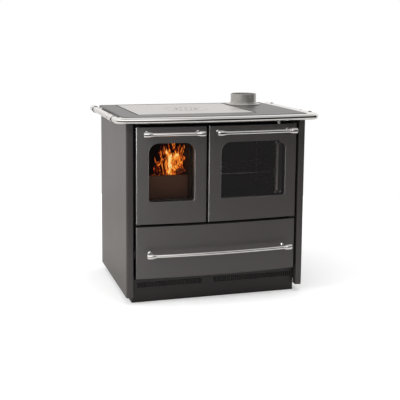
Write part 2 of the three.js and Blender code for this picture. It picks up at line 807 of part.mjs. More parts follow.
function hobLid() {
  const t = hobPlate.thickness / 2;
  const profile = [
    [0, -2 * t + fit],
    [lidOuter - ringStep - ringGap, -2 * t + fit],
    [lidOuter - ringStep - ringGap, -t + fit],
    [lidOuter, -t + fit],
    [lidOuter, 0],
    [0, 0],
  ];
  const disc = turned(profile, ringCentre.x, ringCentre.y, hobTop, 48);
  const dimples = Array.from({ length: dimpleCount }, (_, i) => {
    const a = ((i + 0.5) / dimpleCount) * Math.PI * 2;
    const x = ringCentre.x + dimpleCircle * Math.cos(a);
    const y = ringCentre.y + dimpleCircle * Math.sin(a);
    return rod([x, y, hobTop - 2.5], [x, y, hobTop + 3], dimpleRadius, 8);
  });
  const grip = box(ringCentre.x - 10, ringCentre.x + 10, ringCentre.y - 3, ringCentre.y + 3, hobTop - 4, hobTop + 3);
  return cut(disc, ...dimples, grip);
}

function flueCollar() {
  const bore = flueRadius - flueWall;
  const foot = flueFlange.thickness;
  const profile = [
    [bore, 0],
    [flueFlange.radius - 1, 0],
    [flueFlange.radius, 1],
    [flueFlange.radius, foot - 1.5],
    [flueFlange.radius - 1.5, foot],
    [flueFoot.radius, foot],
    [flueFoot.radius, foot + flueFoot.height - 2],
    [flueFoot.radius - 2, foot + flueFoot.height],
    [flueRadius, foot + flueFoot.height],
    [flueRadius, flueHeight - 1.5],
    [flueRadius - 1, flueHeight],
    [bore + 0.6, flueHeight],
    [bore, flueHeight - 1],
    [bore, 0],
  ];
  return turned(profile.map(([r, h]) => [r, h === 0 ? fit : h]), flueCentre.x, flueCentre.y, hobTop, 40);
}

add("top_frame", topFrame(), "castIron");
add("hob_plate", hotPlate(), "hob");
add("hob_ring", hobRing(), "hob");
add("hob_lid", hobLid(), "hob");
add("flue_collar", flueCollar(), "castIron");

// ---------------------------------------------------------------- towel rail
function railPoints() {
  const z = railHeight;
  const centre = (x) => bowed(x, -railStandoff);
  const turnIn = railHalf - railBend;
  const points = [[-railHalf, railBackEnd, z]];
  for (const share of [0.8, 0.6, 0.4, 0.2]) points.push([-railHalf, railBackEnd * share, z]);
  points.push([-railHalf, centre(turnIn) + railBend + bracketWidth * 3, z]);
  for (let i = 0; i <= 6; i++) {
    const a = (i / 6) * (Math.PI / 2);
    points.push([-turnIn - railBend * Math.cos(a), centre(turnIn) + railBend - railBend * Math.sin(a), z]);
  }
  const steps = 10;
  for (let i = 1; i < steps; i++) {
    const x = -turnIn + (2 * turnIn * i) / steps;
    points.push([x, centre(x), z]);
  }
  const mirrored = points.slice(0, points.length - steps + 1).map(([x, y, h]) => [-x, y, h]);
  return [...points, ...mirrored.reverse()];
}

function towelRail() {
  const ends = [-1, 1].map((side) =>
    solid(new THREE.SphereGeometry(railRadius, 12, 8).translate(side * railHalf, railBackEnd, railHeight)),
  );
  const rings = [-1, 1].map((side) => {
    const at = (y) => [side * railHalf, y, railHeight];
    const { y, width, raise } = railJoint;
    return rod(at(y - width / 2), at(y + width / 2), railRadius + raise, 20);
  });
  return joined(tube(railPoints(), railRadius, 12, 60), ...ends, ...rings);
}

function railBracket(side, y) {
  const z = railHeight;
  const ringOut = railRadius + bracketRing;
  const inner = railRadius + fit;
  const ring = cut(
    rod([side * railHalf, y - bracketWidth / 2, z], [side * railHalf, y + bracketWidth / 2, z], ringOut, 20),
    rod([side * railHalf, y - bracketWidth, z], [side * railHalf, y + bracketWidth, z], inner, 20),
  );
  const face = side * (topFrameHalf + fit);
  const stem = rod([face, y, z], [side * (railHalf - inner - 1), y, z], bracketStem, 12);
  const foot = rod([face, y, z], [face + side * 3, y, z], bracketStem + 2, 16);
  return joined(ring, stem, foot);
}

add("rail", towelRail(), "chrome");
for (const [side, hand] of [[-1, "left"], [1, "right"]]) {
  add("rail_bracket_front_" + hand, railBracket(side, bracketFrontY), "chrome");
  add("rail_bracket_rear_" + hand, railBracket(side, bracketRearY), "chrome");
}

// ---------------------------------------------------------------- firebox
function firebox() {
  const { left, right, back, top, smokeEdge } = fireShell;
  const front = frameFace + frameThickness + fit;
  const bottom = midPlateBottom + midPlateThickness + fit;
  const outside = box(left, right, front, back, bottom, top);
  const inside = box(left + shellWall, right - shellWall, front - 5, back - shellWall, bottom + shellWall, top + 5);
  const smokeWay = box(right - shellWall - 1, right + 5, front + 20, back - 20, smokeEdge, top + 5);
  const ledgeTop = grateTop - grateThickness - fit;
  const ledges = [
    box(left + shellWall - 1, left + shellWall + 9, front, back - shellWall, ledgeTop - 4, ledgeTop),
    box(right - shellWall - 9, right - shellWall + 1, front, back - shellWall, ledgeTop - 4, ledgeTop),
  ];
  return joined(cut(outside, inside, smokeWay), ...ledges);
}

function grate() {
  const front = frameFace + frameThickness + 8;
  const shape = polygon([
    [fireLeft + fit, front],
    [fireRight - fit, front],
    [fireRight - fit, fireBack - fit],
    [fireLeft + fit, fireBack - fit],
  ]);
  const { width, length, gap, count } = grateSlot;
  const span = fireRight - fireLeft - 2 * brickThickness - 16;
  const middle = (front + fireBack - brickThickness) / 2;
  for (let i = 0; i < count; i++) {
    const x = fireLeft + brickThickness + 8 + (span * (i + 0.5)) / count;
    for (const y of [middle - gap / 2 - length, middle + gap / 2]) {
      shape.holes.push(roundedRect(x - width / 2, x + width / 2, y, y + length, width / 2 - 0.1));
    }
  }
  return prismZ(shape, grateTop - grateThickness, grateTop, 1);
}

function sideBrick(side) {
  const x = side < 0 ? fireLeft + fit : fireRight - brickThickness - fit;
  const base = grateTop + fit;
  const front = retainerFront - 18;
  const brick = box(x, x + brickThickness, front, fireBack - fit, base, brickTop);
  const joint = (base + brickTop) / 2;
  const face = side < 0 ? x + brickThickness : x;
  const groove = box(face - 1.5, face + 1.5, front - 5, fireBack, joint - 1.5, joint + 1.5);
  return cut(brick, groove);
}

function backBrick() {
  const left = fireLeft + brickThickness + 2 * fit;
  const right = fireRight - brickThickness - 2 * fit;
  const back = fireBack - fit;
  const brick = box(left, right, back - brickThickness, back, grateTop + fit, brickTop);
  const middle = (left + right) / 2;
  const face = back - brickThickness;
  return cut(brick, box(middle - 1.5, middle + 1.5, face - 1.5, face + 1.5, grateTop - 5, brickTop + 5));
}

function logRetainer() {
  const left = fireLeft + brickThickness + 2 * fit;
  const right = fireRight - brickThickness - 2 * fit;
  const base = grateTop + fit;
  const y = retainerFront;
  const plate = box(left, right, y, y + retainerThickness, base, retainerTop);
  const lip = box(left, right, y, y + retainerThickness + 6, retainerTop - 6, retainerTop);
  return joined(plate, lip);
}

function ashPan() {
  const bottom = midPlateBottom + midPlateThickness + shellWall + 2 * fit;
  const front = frameFace + frameThickness + 14;
  const pan = openBox(
    fireLeft + 12,
    fireRight - 12,
    front,
    fireBack - 14,
    bottom,
    bottom + ashPanHeight,
    thinSheet,
  );
  const middle = (fireLeft + fireRight) / 2;
  const grip = bottom + ashPanHeight / 2;
  const bail = box(middle - 45, middle + 45, front - 10, front + 1, grip - 3, grip + 3);
  const hand = box(middle - 37, middle + 37, front - 5, front - fit, grip - 9, grip + 9);
  return joined(pan, cut(bail, hand));
}

add("firebox_shell", firebox(), "castIron");
add("fire_grate", grate(), "castIron");
add("firebrick_left", sideBrick(-1), "brick");
add("firebrick_right", sideBrick(1), "brick");
add("firebrick_back", backBrick(), "brick");
add("log_retainer", logRetainer(), "castIron");
add("ash_pan", ashPan(), "zinc");

// ---------------------------------------------------------------- oven
function ovenLiner() {
  const { left, right, bottom, top } = ovenMouth;
  const front = frameFace + frameThickness + fit;
  const w = ovenWall;
  const outside = box(left - w, right + w, front, ovenBack, bottom - w, ovenTop);
  const inside = box(left, right, front - 5, ovenBack - w, bottom, top);
  const ribs = [left + 60, right - 60].map((x) =>
    box(x, x + w, front + 20, ovenBack, midPlateBottom + midPlateThickness + fit, bottom - 1),
  );
  return joined(cut(outside, inside), ...ribs);
}

// Wire ladder with three pairs of runners, pegged to a side wall of the oven.
function ovenRack(side) {
  const wall = side < 0 ? ovenMouth.left : ovenMouth.right;
  const wireX = wall - side * rackFromWall;
  const uprightX = wall - side * (rackFromWall - 2 * rackWire + 0.5);
  const low = rackLevels[0] - 30;
  const high = rackLevels[2] + 42;
  const stations = [rackFront + 40, rackRear - 14];
  const uprights = stations.map((y) => rod([uprightX, y, low], [uprightX, y, high], rackWire, 8));
  const wires = rackLevels.flatMap((z) =>
    [z - rackPairHalf, z + rackPairHalf].map((h) => rod([wireX, rackFront, h], [wireX, rackRear, h], rackWire, 8)),
  );
  const pegs = stations.flatMap((y) =>
    [low + 8, high - 8].map((z) => rod([uprightX, y, z], [wall - side * fit, y, z], rackWire, 8)),
  );
  return joined(...uprights, ...wires, ...pegs);
}

function ovenShelf() {
  const z = rackLevels[1] - rackPairHalf + 2 * rackWire + fit;
  const x0 = ovenMouth.left + shelfFromWall;
  const x1 = ovenMouth.right - shelfFromWall;
  const y0 = rackFront + 12;
  const y1 = rackRear - 6;
  const edge = [
    rod([x0, y0 - rackWire, z], [x0, y1 + rackWire, z], rackWire, 8),
    rod([x1, y0 - rackWire, z], [x1, y1 + rackWire, z], rackWire, 8),
    rod([x0, y0, z], [x1, y0, z], rackWire, 8),
    rod([x0, y1, z], [x1, y1, z], rackWire, 8),
  ];
  const bars = Array.from({ length: 11 }, (_, i) => {
    const x = x0 + ((x1 - x0) * (i + 1)) / 12;
    return rod([x, y0, z], [x, y1, z], 1.6, 6);
  });
  return joined(...edge, ...bars);
}

add("oven_liner", ovenLiner(), "enamel");
add("oven_rack_left", ovenRack(-1), "chrome");
add("oven_rack_right", ovenRack(1), "chrome");
add("oven_shelf", ovenShelf(), "chrome");

// ---------------------------------------------------------------- smoke way and its damper
function smokePartition() {
  const path = roundedPath([
    [wallHalf - sheet - fit, partitionFront],
    [partitionLeft, partitionFront, 4],
    [partitionLeft, bodyDepth - 2 * sheet - 2 * fit],
  ]);
  const wall = prismZ(foldedSheet(path, -sheet), ovenTop + fit, panelTop);
  const { x, plateHalf } = damper;
  const port = roundedRect(x - plateHalf + 8, x + plateHalf - 8, ovenTop + 8, panelTop - 10, 6);
  return cut(wall, prismY(port, partitionFront - 9, partitionFront + 9, 1));
}

function damperSlide() {
  const { x, rodRadius, plateHalf, plate: thickness } = damper;
  const back = partitionFront - fit;
  const front = back - thickness;
  const stem = rod([x, -4, damperHeight], [x, front + 1, damperHeight], rodRadius);
  const plate = box(x - plateHalf, x + plateHalf, front, back, ovenTop + 2, panelTop - 1);
  return joined(stem, plate);
}

function damperKnob() {
  const { x, knobRadius: k } = damper;
  const profile = [
    [0, 0],
    [k * 0.55, 0],
    [k * 0.62, 4],
    [k, 7],
    [k, 12],
    [k * 0.7, 14.5],
    [0, 15.5],
  ];
  const points = profile.map(([r, h]) => new THREE.Vector2(r, h));
  const knob = new THREE.LatheGeometry(points, 20).rotateZ(Math.PI).translate(x, -4 - fit, 0);
  return solid(knob.translate(0, 0, damperHeight));
}

add("smoke_partition", smokePartition(), "castIron");
add("damper_slide", damperSlide(), "zinc");
add("damper_knob", damperKnob(), "chrome");

export default stove;
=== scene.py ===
"""Studio picture of a free-standing wood cookstove, dressed over its CAD frame."""
import json
import math
import random

import bmesh
import bpy
from mathutils import Matrix, Vector, noise


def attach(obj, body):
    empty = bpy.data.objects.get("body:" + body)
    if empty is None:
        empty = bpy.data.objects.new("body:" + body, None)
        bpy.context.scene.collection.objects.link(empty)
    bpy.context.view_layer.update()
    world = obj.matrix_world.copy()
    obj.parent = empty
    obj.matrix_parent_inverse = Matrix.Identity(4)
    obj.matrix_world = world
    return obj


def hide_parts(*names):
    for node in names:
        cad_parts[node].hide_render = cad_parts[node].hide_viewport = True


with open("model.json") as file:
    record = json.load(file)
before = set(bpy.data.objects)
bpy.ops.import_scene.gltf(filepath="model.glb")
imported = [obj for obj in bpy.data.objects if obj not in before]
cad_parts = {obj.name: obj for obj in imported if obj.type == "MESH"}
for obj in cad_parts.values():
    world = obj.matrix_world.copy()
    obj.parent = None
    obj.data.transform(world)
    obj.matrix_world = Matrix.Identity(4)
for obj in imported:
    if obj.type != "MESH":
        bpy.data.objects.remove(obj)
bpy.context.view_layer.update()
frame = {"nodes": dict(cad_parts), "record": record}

# ------------------------------------------------------------------ sizes in metres
SHIFT_Y = -0.26655          # y of the plane through the outer edges of the fronts
FRONT_HALF = 0.384          # half width over the doors and the drawer
BOW = 0.0194                # how far the fronts bulge at the middle
HOB_TOP = 0.860
FRONT_RADIUS = (FRONT_HALF ** 2 + BOW ** 2) / (2 * BOW)


def bowed(x, behind=0.0):
    """y of a surface parallel to the bowed fronts."""
    return SHIFT_Y + FRONT_RADIUS - math.sqrt(FRONT_RADIUS ** 2 - x * x) - BOW + behind


# ------------------------------------------------------------------ camera
CAMERA_TURN = (15.75, 7.86, 0.33)   # yaw, pitch and roll in degrees
CAMERA_PLACE = (-1.153, -3.442 + SHIFT_Y, 1.227)
CAMERA_LENS = 72.36
CAMERA_SHIFT = (0.05, -0.14)


def make_camera():
    """The photograph's view, with its small lens shift."""
    data = bpy.data.cameras.new("studio_camera")
    camera = bpy.data.objects.new("studio_camera", data)
    bpy.context.collection.objects.link(camera)
    yaw, pitch, roll = (math.radians(angle) for angle in CAMERA_TURN)
    level = math.cos(pitch)
    forward = Vector((math.sin(yaw) * level, math.cos(yaw) * level, -math.sin(pitch)))
    right = Vector((math.cos(yaw), -math.sin(yaw), 0.0))
    up = right.cross(forward)
    turned_right = right * math.cos(roll) + up * math.sin(roll)
    turned_up = up * math.cos(roll) - right * math.sin(roll)
    camera.matrix_world = Matrix((
        (turned_right.x, turned_up.x, -forward.x, CAMERA_PLACE[0]),
        (turned_right.y, turned_up.y, -forward.y, CAMERA_PLACE[1]),
        (turned_right.z, turned_up.z, -forward.z, CAMERA_PLACE[2]),
        (0.0, 0.0, 0.0, 1.0),
    ))
    data.sensor_width = 36.0
    data.lens = CAMERA_LENS
    data.shift_x, data.shift_y = CAMERA_SHIFT
    data.clip_start = 0.05
    data.clip_end = 60.0
    bpy.context.scene.camera = camera


make_camera()


# ------------------------------------------------------------------ node helpers
class Tree:
    """Short names for building a shader or geometry node tree."""

    def __init__(self, tree):
        self.tree = tree
        self.place = 0

    def node(self, kind, inputs=None, **settings):
        made = self.tree.nodes.new(kind)
        made.location = (self.place * 190, -(self.place % 4) * 160)
        self.place += 1
        for name, value in settings.items():
            setattr(made, name, value)
        for name, value in (inputs or {}).items():
            self.plug(value, made.inputs[name])
        return made

    def plug(self, value, socket):
        if isinstance(value, bpy.types.NodeSocket):
            self.tree.links.new(value, socket)
        else:
            socket.default_value = value


def ramp(tree, fac, stops):
    """Colour that changes evenly between the stops along a value."""
    node = tree.node("ShaderNodeValToRGB", {"Fac": fac})
    elements = node.color_ramp.elements
    while len(elements) < len(stops):
        elements.new(0.5)
    for element, (position, colour) in zip(elements, stops):
        element.position = position
        element.color = colour if len(colour) == 4 else (*colour, 1.0)
    return node.outputs["Color"]


def new_group(name, inputs, outputs):
    """Shader node group with named sockets."""
    group = bpy.data.node_groups.new(name, "ShaderNodeTree")
    for label, kind, value in inputs:
        socket = group.interface.new_socket(name=label, in_out="INPUT", socket_type=kind)
        socket.default_value = value
    for label, kind in outputs:
        group.interface.new_socket(name=label, in_out="OUTPUT", socket_type=kind)
    return group


# ------------------------------------------------------------------ shared effects
def surface_grain_group():
    """Fine mottling of a coated or ground surface: a shaded colour, a roughness and a height."""
    group = new_group(
        "surface_grain",
        [
            ("Colour", "NodeSocketColor", (0.5, 0.5, 0.5, 1.0)),
            ("Roughness", "NodeSocketFloat", 0.4),
            ("Grain Scale", "NodeSocketFloat", 900.0),
            ("Cloud Scale", "NodeSocketFloat", 5.0),
            ("Cloud Depth", "NodeSocketFloat", 0.08),
            ("Stretch", "NodeSocketVector", (1.0, 1.0, 1.0)),
        ],
        [("Colour", "NodeSocketColor"), ("Roughness", "NodeSocketFloat"), ("Height", "NodeSocketFloat")],
    )
    t = Tree(group)
    given = t.node("NodeGroupInput").outputs
    place = t.node("ShaderNodeTexCoord").outputs["Object"]
    stretched = t.node("ShaderNodeVectorMath", {0: place, 1: given["Stretch"]}, operation="MULTIPLY")
    grain = t.node("ShaderNodeTexNoise", {
        "Vector": stretched.outputs[0], "Scale": given["Grain Scale"], "Detail": 2.0,
    }).outputs["Fac"]
    cloud = t.node("ShaderNodeTexNoise", {
        "Vector": stretched.outputs[0], "Scale": given["Cloud Scale"], "Detail": 3.0,
    }).outputs["Fac"]
    centred = t.node("ShaderNodeMath", {0: cloud, 1: 0.5}, operation="SUBTRACT").outputs[0]
    swing = t.node("ShaderNodeMath", {0: centred, 1: given["Cloud Depth"]}, operation="MULTIPLY").outputs[0]
    factor = t.node("ShaderNodeMath", {0: swing, 1: 1.0}, operation="ADD").outputs[0]
    shade = t.node("ShaderNodeVectorMath", {0: given["Colour"], "Scale": factor}, operation="SCALE")
    rough = t.node("ShaderNodeMath", {0: swing, 1: given["Roughness"]}, operation="ADD").outputs[0]
    out = t.node("NodeGroupOutput")
    t.plug(shade.outputs[0], out.inputs["Colour"])
    t.plug(rough, out.inputs["Roughness"])
    t.plug(grain, out.inputs["Height"])
    return group


GRAIN = surface_grain_group()
RELIEF = 0.0004             # height of the grain at full strength


def finish_with_grain(name, colour, roughness, metallic=0.0, bump=0.02, grain=900.0, cloud=5.0,
                      depth=0.08, stretch=(1.0, 1.0, 1.0), specular=0.5):
    """A material whose colour, roughness and relief come from the shared grain."""
    material = bpy.data.materials.new(name)
    material.use_nodes = True
    t = Tree(material.node_tree)
    shader = material.node_tree.nodes["Principled BSDF"]
    made = t.node("ShaderNodeGroup", node_tree=GRAIN)
    made.inputs["Colour"].default_value = (*colour, 1.0)
    made.inputs["Roughness"].default_value = roughness
    made.inputs["Grain Scale"].default_value = grain
    made.inputs["Cloud Scale"].default_value = cloud
    made.inputs["Cloud Depth"].default_value = depth
    made.inputs["Stretch"].default_value = stretch
    t.plug(made.outputs["Colour"], shader.inputs["Base Color"])
    t.plug(made.outputs["Roughness"], shader.inputs["Roughness"])
    height = made.outputs["Height"]
    relief = t.node("ShaderNodeBump", {"Height": height, "Strength": bump, "Distance": RELIEF})
    t.plug(relief.outputs["Normal"], shader.inputs["Normal"])
    shader.inputs["Metallic"].default_value = metallic
    shader.inputs["Specular IOR Level"].default_value = specular
    return material


casing_paint = finish_with_grain(
    "casing_paint", (0.052, 0.0455, 0.043), 0.38, bump=0.004, grain=1400.0, depth=0.05, specular=0.75)
side_paint = finish_with_grain(
    "side_paint", (0.050, 0.044, 0.042), 0.34, bump=0.010, grain=1400.0, depth=0.05, specular=0.6)
black_paint = finish_with_grain("black_paint", (0.010, 0.009, 0.009), 0.5, bump=0.10)
# Black of the front frame, darker and duller than black_paint: the frame is black, and the rest is painted
# shade for the gaps round the doors where it shows.
shadow_black = finish_with_grain("inner_black", (0.006, 0.005, 0.005), 0.7, bump=0.10, specular=0.15)
plinth_paint = finish_with_grain(
    "plinth_paint", (0.018, 0.0155, 0.0155), 0.42, bump=0.10, grain=1400.0, depth=0.05)
hob_frame_paint = finish_with_grain("hob_frame_paint", (0.052, 0.048, 0.046), 0.35, bump=0.08)
ground_steel = finish_with_grain(
    "ground_steel", (0.545, 0.53, 0.515), 0.34, metallic=0.75, bump=0.05, grain=300.0, cloud=9.0,
    depth=0.70, stretch=(0.15, 1.6, 1.0))
cast_iron = finish_with_grain("cast_iron", (0.060, 0.055, 0.052), 0.6, bump=0.35, grain=500.0)
collar_iron = finish_with_grain(
    "collar_iron", (0.56, 0.55, 0.53), 0.34, metallic=0.85, bump=0.12, grain=700.0)
chrome = finish_with_grain("chrome", (0.86, 0.85, 0.84), 0.06, metallic=1.0, bump=0.0, depth=0.02)
zinc_plate = finish_with_grain("zinc_plate", (0.42, 0.43, 0.44), 0.38, metallic=0.9, bump=0.05)
oven_enamel = finish_with_grain("oven_enamel", (0.034, 0.031, 0.032), 0.22, bump=0.02)
rack_wire = finish_with_grain("rack_wire", (0.34, 0.34, 0.345), 0.35, metallic=1.0, bump=0.0)
strip_steel = finish_with_grain("strip_steel", (0.42, 0.41, 0.40), 0.40, metallic=0.9, bump=0.05)
fire_brick = finish_with_grain(
    "sooty_firebrick", (0.030, 0.020, 0.014), 0.9, bump=0.3, grain=260.0, cloud=14.0, depth=0.4,
    specular=0.2)
# Near-black for painted shade: the dark bands in the hob's gaps and seam, and the cups in the lid's dimples.
hob_seal_rope = finish_with_grain(
    "hob_seal_rope", (0.010, 0.009, 0.008), 0.95, bump=0.6, grain=500.0, specular=0.1)
seal_rope = finish_with_grain(
    "seal_rope", (0.045, 0.042, 0.040), 0.95, bump=0.8, grain=420.0, depth=0.3, specular=0.1)
retainer_iron = finish_with_grain(
    "retainer_iron", (0.095, 0.048, 0.031), 0.75, bump=0.3, grain=400.0, specular=0.2)

PANE_IOR = 1.03             # low, so that the pane hardly bends the view
# Colour of the panes' faint painted glow, given by emission.
PANE_GLOW_COLOUR = (1.0, 0.95, 0.96, 1.0)


def window_glass(name, tint, shine, painted_glow):
    """Thin pane: it hardly bends the view, mirrors by its coat and carries a faint even painted glow by
    emission.
    """
    material = bpy.data.materials.new(name)
    material.use_nodes = True
    shader = material.node_tree.nodes["Principled BSDF"]
    shader.inputs["Base Color"].default_value = (*tint, 1.0)
    shader.inputs["Roughness"].default_value = 0.0
    shader.inputs["IOR"].default_value = PANE_IOR
    shader.inputs["Transmission Weight"].default_value = 1.0
    shader.inputs["Coat Weight"].default_value = shine
    shader.inputs["Coat Roughness"].default_value = 0.02
    shader.inputs["Emission Color"].default_value = PANE_GLOW_COLOUR
    shader.inputs["Emission Strength"].default_value = painted_glow
    return material


clear_glass = window_glass("fire_glass", (0.93, 0.88, 0.84), 0.25, 0.001)
dark_glass = window_glass("oven_glass", (0.60, 0.57, 0.57), 0.35, 0.0075)


# ------------------------------------------------------------------ dressing CAD nodes
SMOOTH_ANGLE = math.radians(32)     # a sharper turn stays an edge
SOFTENED_ANGLE = math.radians(40)   # a sharper edge is rounded
FLAT_ANGLE = math.radians(0.6)      # a flatter seam between faces goes
WELD = 2e-6
TOUCH = 1e-6
ON_FRONT = 0.0006                   # an edge this near the bowed face lies on it
EDGE_SEGMENTS = 2
BOWED_FRONTS = ("fire_door_panel", "oven_door_panel", "drawer_front")


def weigh_front_edges(mesh):
    """Mark the edges that lie on the bowed front face: only they are softened."""
    weights = mesh.attributes.new("bevel_weight_edge", "FLOAT", "EDGE")
    for edge in mesh.edges:
        ends = [mesh.vertices[i].co for i in edge.vertices]
        on_front = all(abs(end.y - bowed(end.x)) < ON_FRONT for end in ends)
        weights.data[edge.index].value = 1.0 if on_front and edge.use_edge_sharp else 0.0


def smooth_copy(node_name, material, slot, bevel):
    """A welded copy of a CAD node with soft edges and its own finish, in the node's place."""
    piece_name = node_name + "_finish"
    mesh = frame["nodes"][node_name].data.copy()
    mesh.name = piece_name
    work = bmesh.new()
    work.from_mesh(mesh)
    bmesh.ops.remove_doubles(work, verts=work.verts, dist=WELD)
    bmesh.ops.dissolve_limit(work, angle_limit=FLAT_ANGLE, verts=work.verts, edges=work.edges)
    work.to_mesh(mesh)
    work.free()
    mesh.materials.clear()
    mesh.materials.append(material)
    mesh.polygons.foreach_set("use_smooth", [True] * len(mesh.polygons))
    mesh.set_sharp_from_angle(angle=SMOOTH_ANGLE)
    piece = bpy.data.objects.new(piece_name, mesh)
    bpy.context.collection.objects.link(piece)
    if bevel:
        soft = piece.modifiers.new("soft_edges", "BEVEL")
        soft.width = bevel
        soft.segments = EDGE_SEGMENTS
        soft.limit_method = "ANGLE"
        soft.angle_limit = SOFTENED_ANGLE
        if node_name in BOWED_FRONTS:
            weigh_front_edges(mesh)
            soft.limit_method = "WEIGHT"
        soft.harden_normals = True
        soft.use_clamp_overlap = True
    weighted = piece.modifiers.new("flat_faces_stay_flat", "WEIGHTED_NORMAL")
    weighted.keep_sharp = True
    declare(piece, BODY_OF[node_name], slot, node_name)


def declare(piece, body, slot=None, *replaced):
    """Say which body a piece rides on and the CAD nodes that it stands for; the slot is not used."""
    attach(piece, body)
    if replaced:
        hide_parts(*replaced)


BODY_OF = {
    node: body
    for body, nodes in frame["record"]["behaviour"]["bodies"].items()
    for node in nodes
}

DRESSED = [
    # CAD node, finish, record slot, width of its softened edges
    ("plinth_front", plinth_paint, "black", 0.0003),
    ("base_frame", black_paint, "black", 0.0006),
    ("side_panel_left", side_paint, "casing", 0.0016),
    ("side_panel_right", side_paint, "casing", 0.0016),
    ("back_panel", casing_paint, "casing", 0.0),
    ("front_frame", shadow_black, "black", 0.0006),
    ("inner_wall_left", black_paint, "black", 0.0),
    ("inner_wall_right", black_paint, "black", 0.0),
    ("mid_plate", black_paint, "black", 0.0),
    ("fire_door_panel", casing_paint, "casing", 0.0014),
    ("oven_door_panel", casing_paint, "casing", 0.0014),
    ("drawer_front", casing_paint, "casing", 0.0014),
    ("fire_door_frame", black_paint, "black", 0.0),
    ("oven_door_frame", black_paint, "black", 0.0),
    ("fire_door_glass", clear_glass, "glass", 0.0),
    ("oven_door_glass", dark_glass, "glass", 0.0),
    ("fire_door_seal", seal_rope, "rope", 0.0),
    ("oven_door_seal", seal_rope, "rope", 0.0),
    ("fire_door_hinge_top", black_paint, "zinc", 0.0004),
    ("fire_door_hinge_bottom", black_paint, "zinc", 0.0004),
    ("oven_door_hinge_top", black_paint, "zinc", 0.0004),
    ("oven_door_hinge_bottom", black_paint, "zinc", 0.0004),
    ("drawer_box", black_paint, "black", 0.0),
    ("drawer_runner_left", zinc_plate, "zinc", 0.0),
    ("drawer_runner_right", zinc_plate, "zinc", 0.0),
    ("drawer_slide_left", zinc_plate, "zinc", 0.0006),
    ("drawer_slide_right", zinc_plate, "zinc", 0.0006),
    ("top_frame", hob_frame_paint, "cast_iron", 0.0),
    ("hob_plate", ground_steel, "hob", 0.0006),
    ("hob_ring", ground_steel, "hob", 0.0005),
    ("hob_lid", ground_steel, "hob", 0.0005),
    ("firebox_shell", cast_iron, "cast_iron", 0.0008),
    ("fire_grate", cast_iron, "cast_iron", 0.0010),
    ("firebrick_left", fire_brick, "firebrick", 0.0020),
    ("firebrick_right", fire_brick, "firebrick", 0.0020),
    ("firebrick_back", fire_brick, "firebrick", 0.0020),
    ("log_retainer", retainer_iron, "cast_iron", 0.0012),
    ("ash_pan", zinc_plate, "zinc", 0.0),
    ("oven_liner", oven_enamel, "enamel", 0.0),
    ("oven_rack_left", rack_wire, "chrome", 0.0),
    ("oven_rack_right", rack_wire, "chrome", 0.0),
    ("oven_shelf", rack_wire, "chrome", 0.0),
    ("smoke_partition", cast_iron, "cast_iron", 0.0),
    ("damper_slide", zinc_plate, "zinc", 0.0),
]
for cad_node, finish, slot_name, softening in DRESSED:
    smooth_copy(cad_node, finish, slot_name, softening)


# ------------------------------------------------------------------ round bright parts
def mesh_object(name, work, material, smooth=True):
    """An object from drawn faces, turned outward."""
    bmesh.ops.recalc_face_normals(work, faces=work.faces)
    mesh = bpy.data.meshes.new(name)
    work.to_mesh(mesh)
    work.free()
    mesh.materials.append(material)
    if smooth:
        mesh.polygons.foreach_set("use_smooth", [True] * len(mesh.polygons))
        mesh.set_sharp_from_angle(angle=SMOOTH_ANGLE)
    piece = bpy.data.objects.new(name, mesh)
    bpy.context.collection.objects.link(piece)
    return piece


def sweep(work, points, radii, sides=32):
    """Closed tube through the points, with a radius for each of them."""
    rings = []
    for i, point in enumerate(points):
        ahead = (points[min(i + 1, len(points) - 1)] - points[max(i - 1, 0)]).normalized()
        across = ahead.cross(Vector((0, 0, 1)))
        if across.length < TOUCH:
            across = Vector((1, 0, 0))
        across.normalize()
        upward = across.cross(ahead)
        ring = []
        for k in range(sides):
            a = 2 * math.pi * k / sides
            spoke = across * math.cos(a) + upward * math.sin(a)
            ring.append(work.verts.new(point + spoke * radii[i]))
        rings.append(ring)
    for first, second in zip(rings, rings[1:]):
        for k in range(sides):
            work.faces.new((first[k], first[(k + 1) % sides], second[(k + 1) % sides], second[k]))
    work.faces.new(rings[0])
    work.faces.new(rings[-1][::-1])


def turned(work, profile, origin, axis, sides=40):
    """Turned shape: the profile holds (radius, distance along the axis) pairs and closes at the axis."""
    axis = Vector(axis).normalized()
    side = axis.orthogonal().normalized()
    other = axis.cross(side)
    rings = []
    for radius, along in profile:
        centre = Vector(origin) + axis * along
        if radius < TOUCH:
            rings.append([work.verts.new(centre)])
            continue
        rings.append([
            work.verts.new(centre + (side * math.cos(a) + other * math.sin(a)) * radius)
            for a in (2 * math.pi * k / sides for k in range(sides))
        ])
    for first, second in zip(rings, rings[1:]):
        for k in range(sides):
            corners = [first[k % len(first)], first[(k + 1) % len(first)],
                       second[(k + 1) % len(second)], second[k % len(second)]]
            unique = list(dict.fromkeys(corners))
            if len(unique) > 2:
                work.faces.new(unique)


def geometry_tree(name, inputs):
    """A geometry node tree with a mesh in, a mesh out and named inputs between them."""
    group = bpy.data.node_groups.new(name, "GeometryNodeTree")
    group.interface.new_socket(name="Geometry", in_out="INPUT", socket_type="NodeSocketGeometry")
    for label, kind, value in inputs:
        socket = group.interface.new_socket(name=label, in_out="INPUT", socket_type=kind)
        if value is not None:
            socket.default_value = value
    group.interface.new_socket(name="Geometry", in_out="OUTPUT", socket_type="NodeSocketGeometry")
    return group


def finish_tree(t, geometry, material):
    """Every tree ends alike: real geometry, then its material."""
    real = t.node("GeometryNodeRealizeInstances", {"Geometry": geometry}).outputs["Geometry"]
    painted = t.node("GeometryNodeSetMaterial", {"Geometry": real, "Material": material}).outputs["Geometry"]
    t.plug(painted, t.node("NodeGroupOutput").inputs["Geometry"])


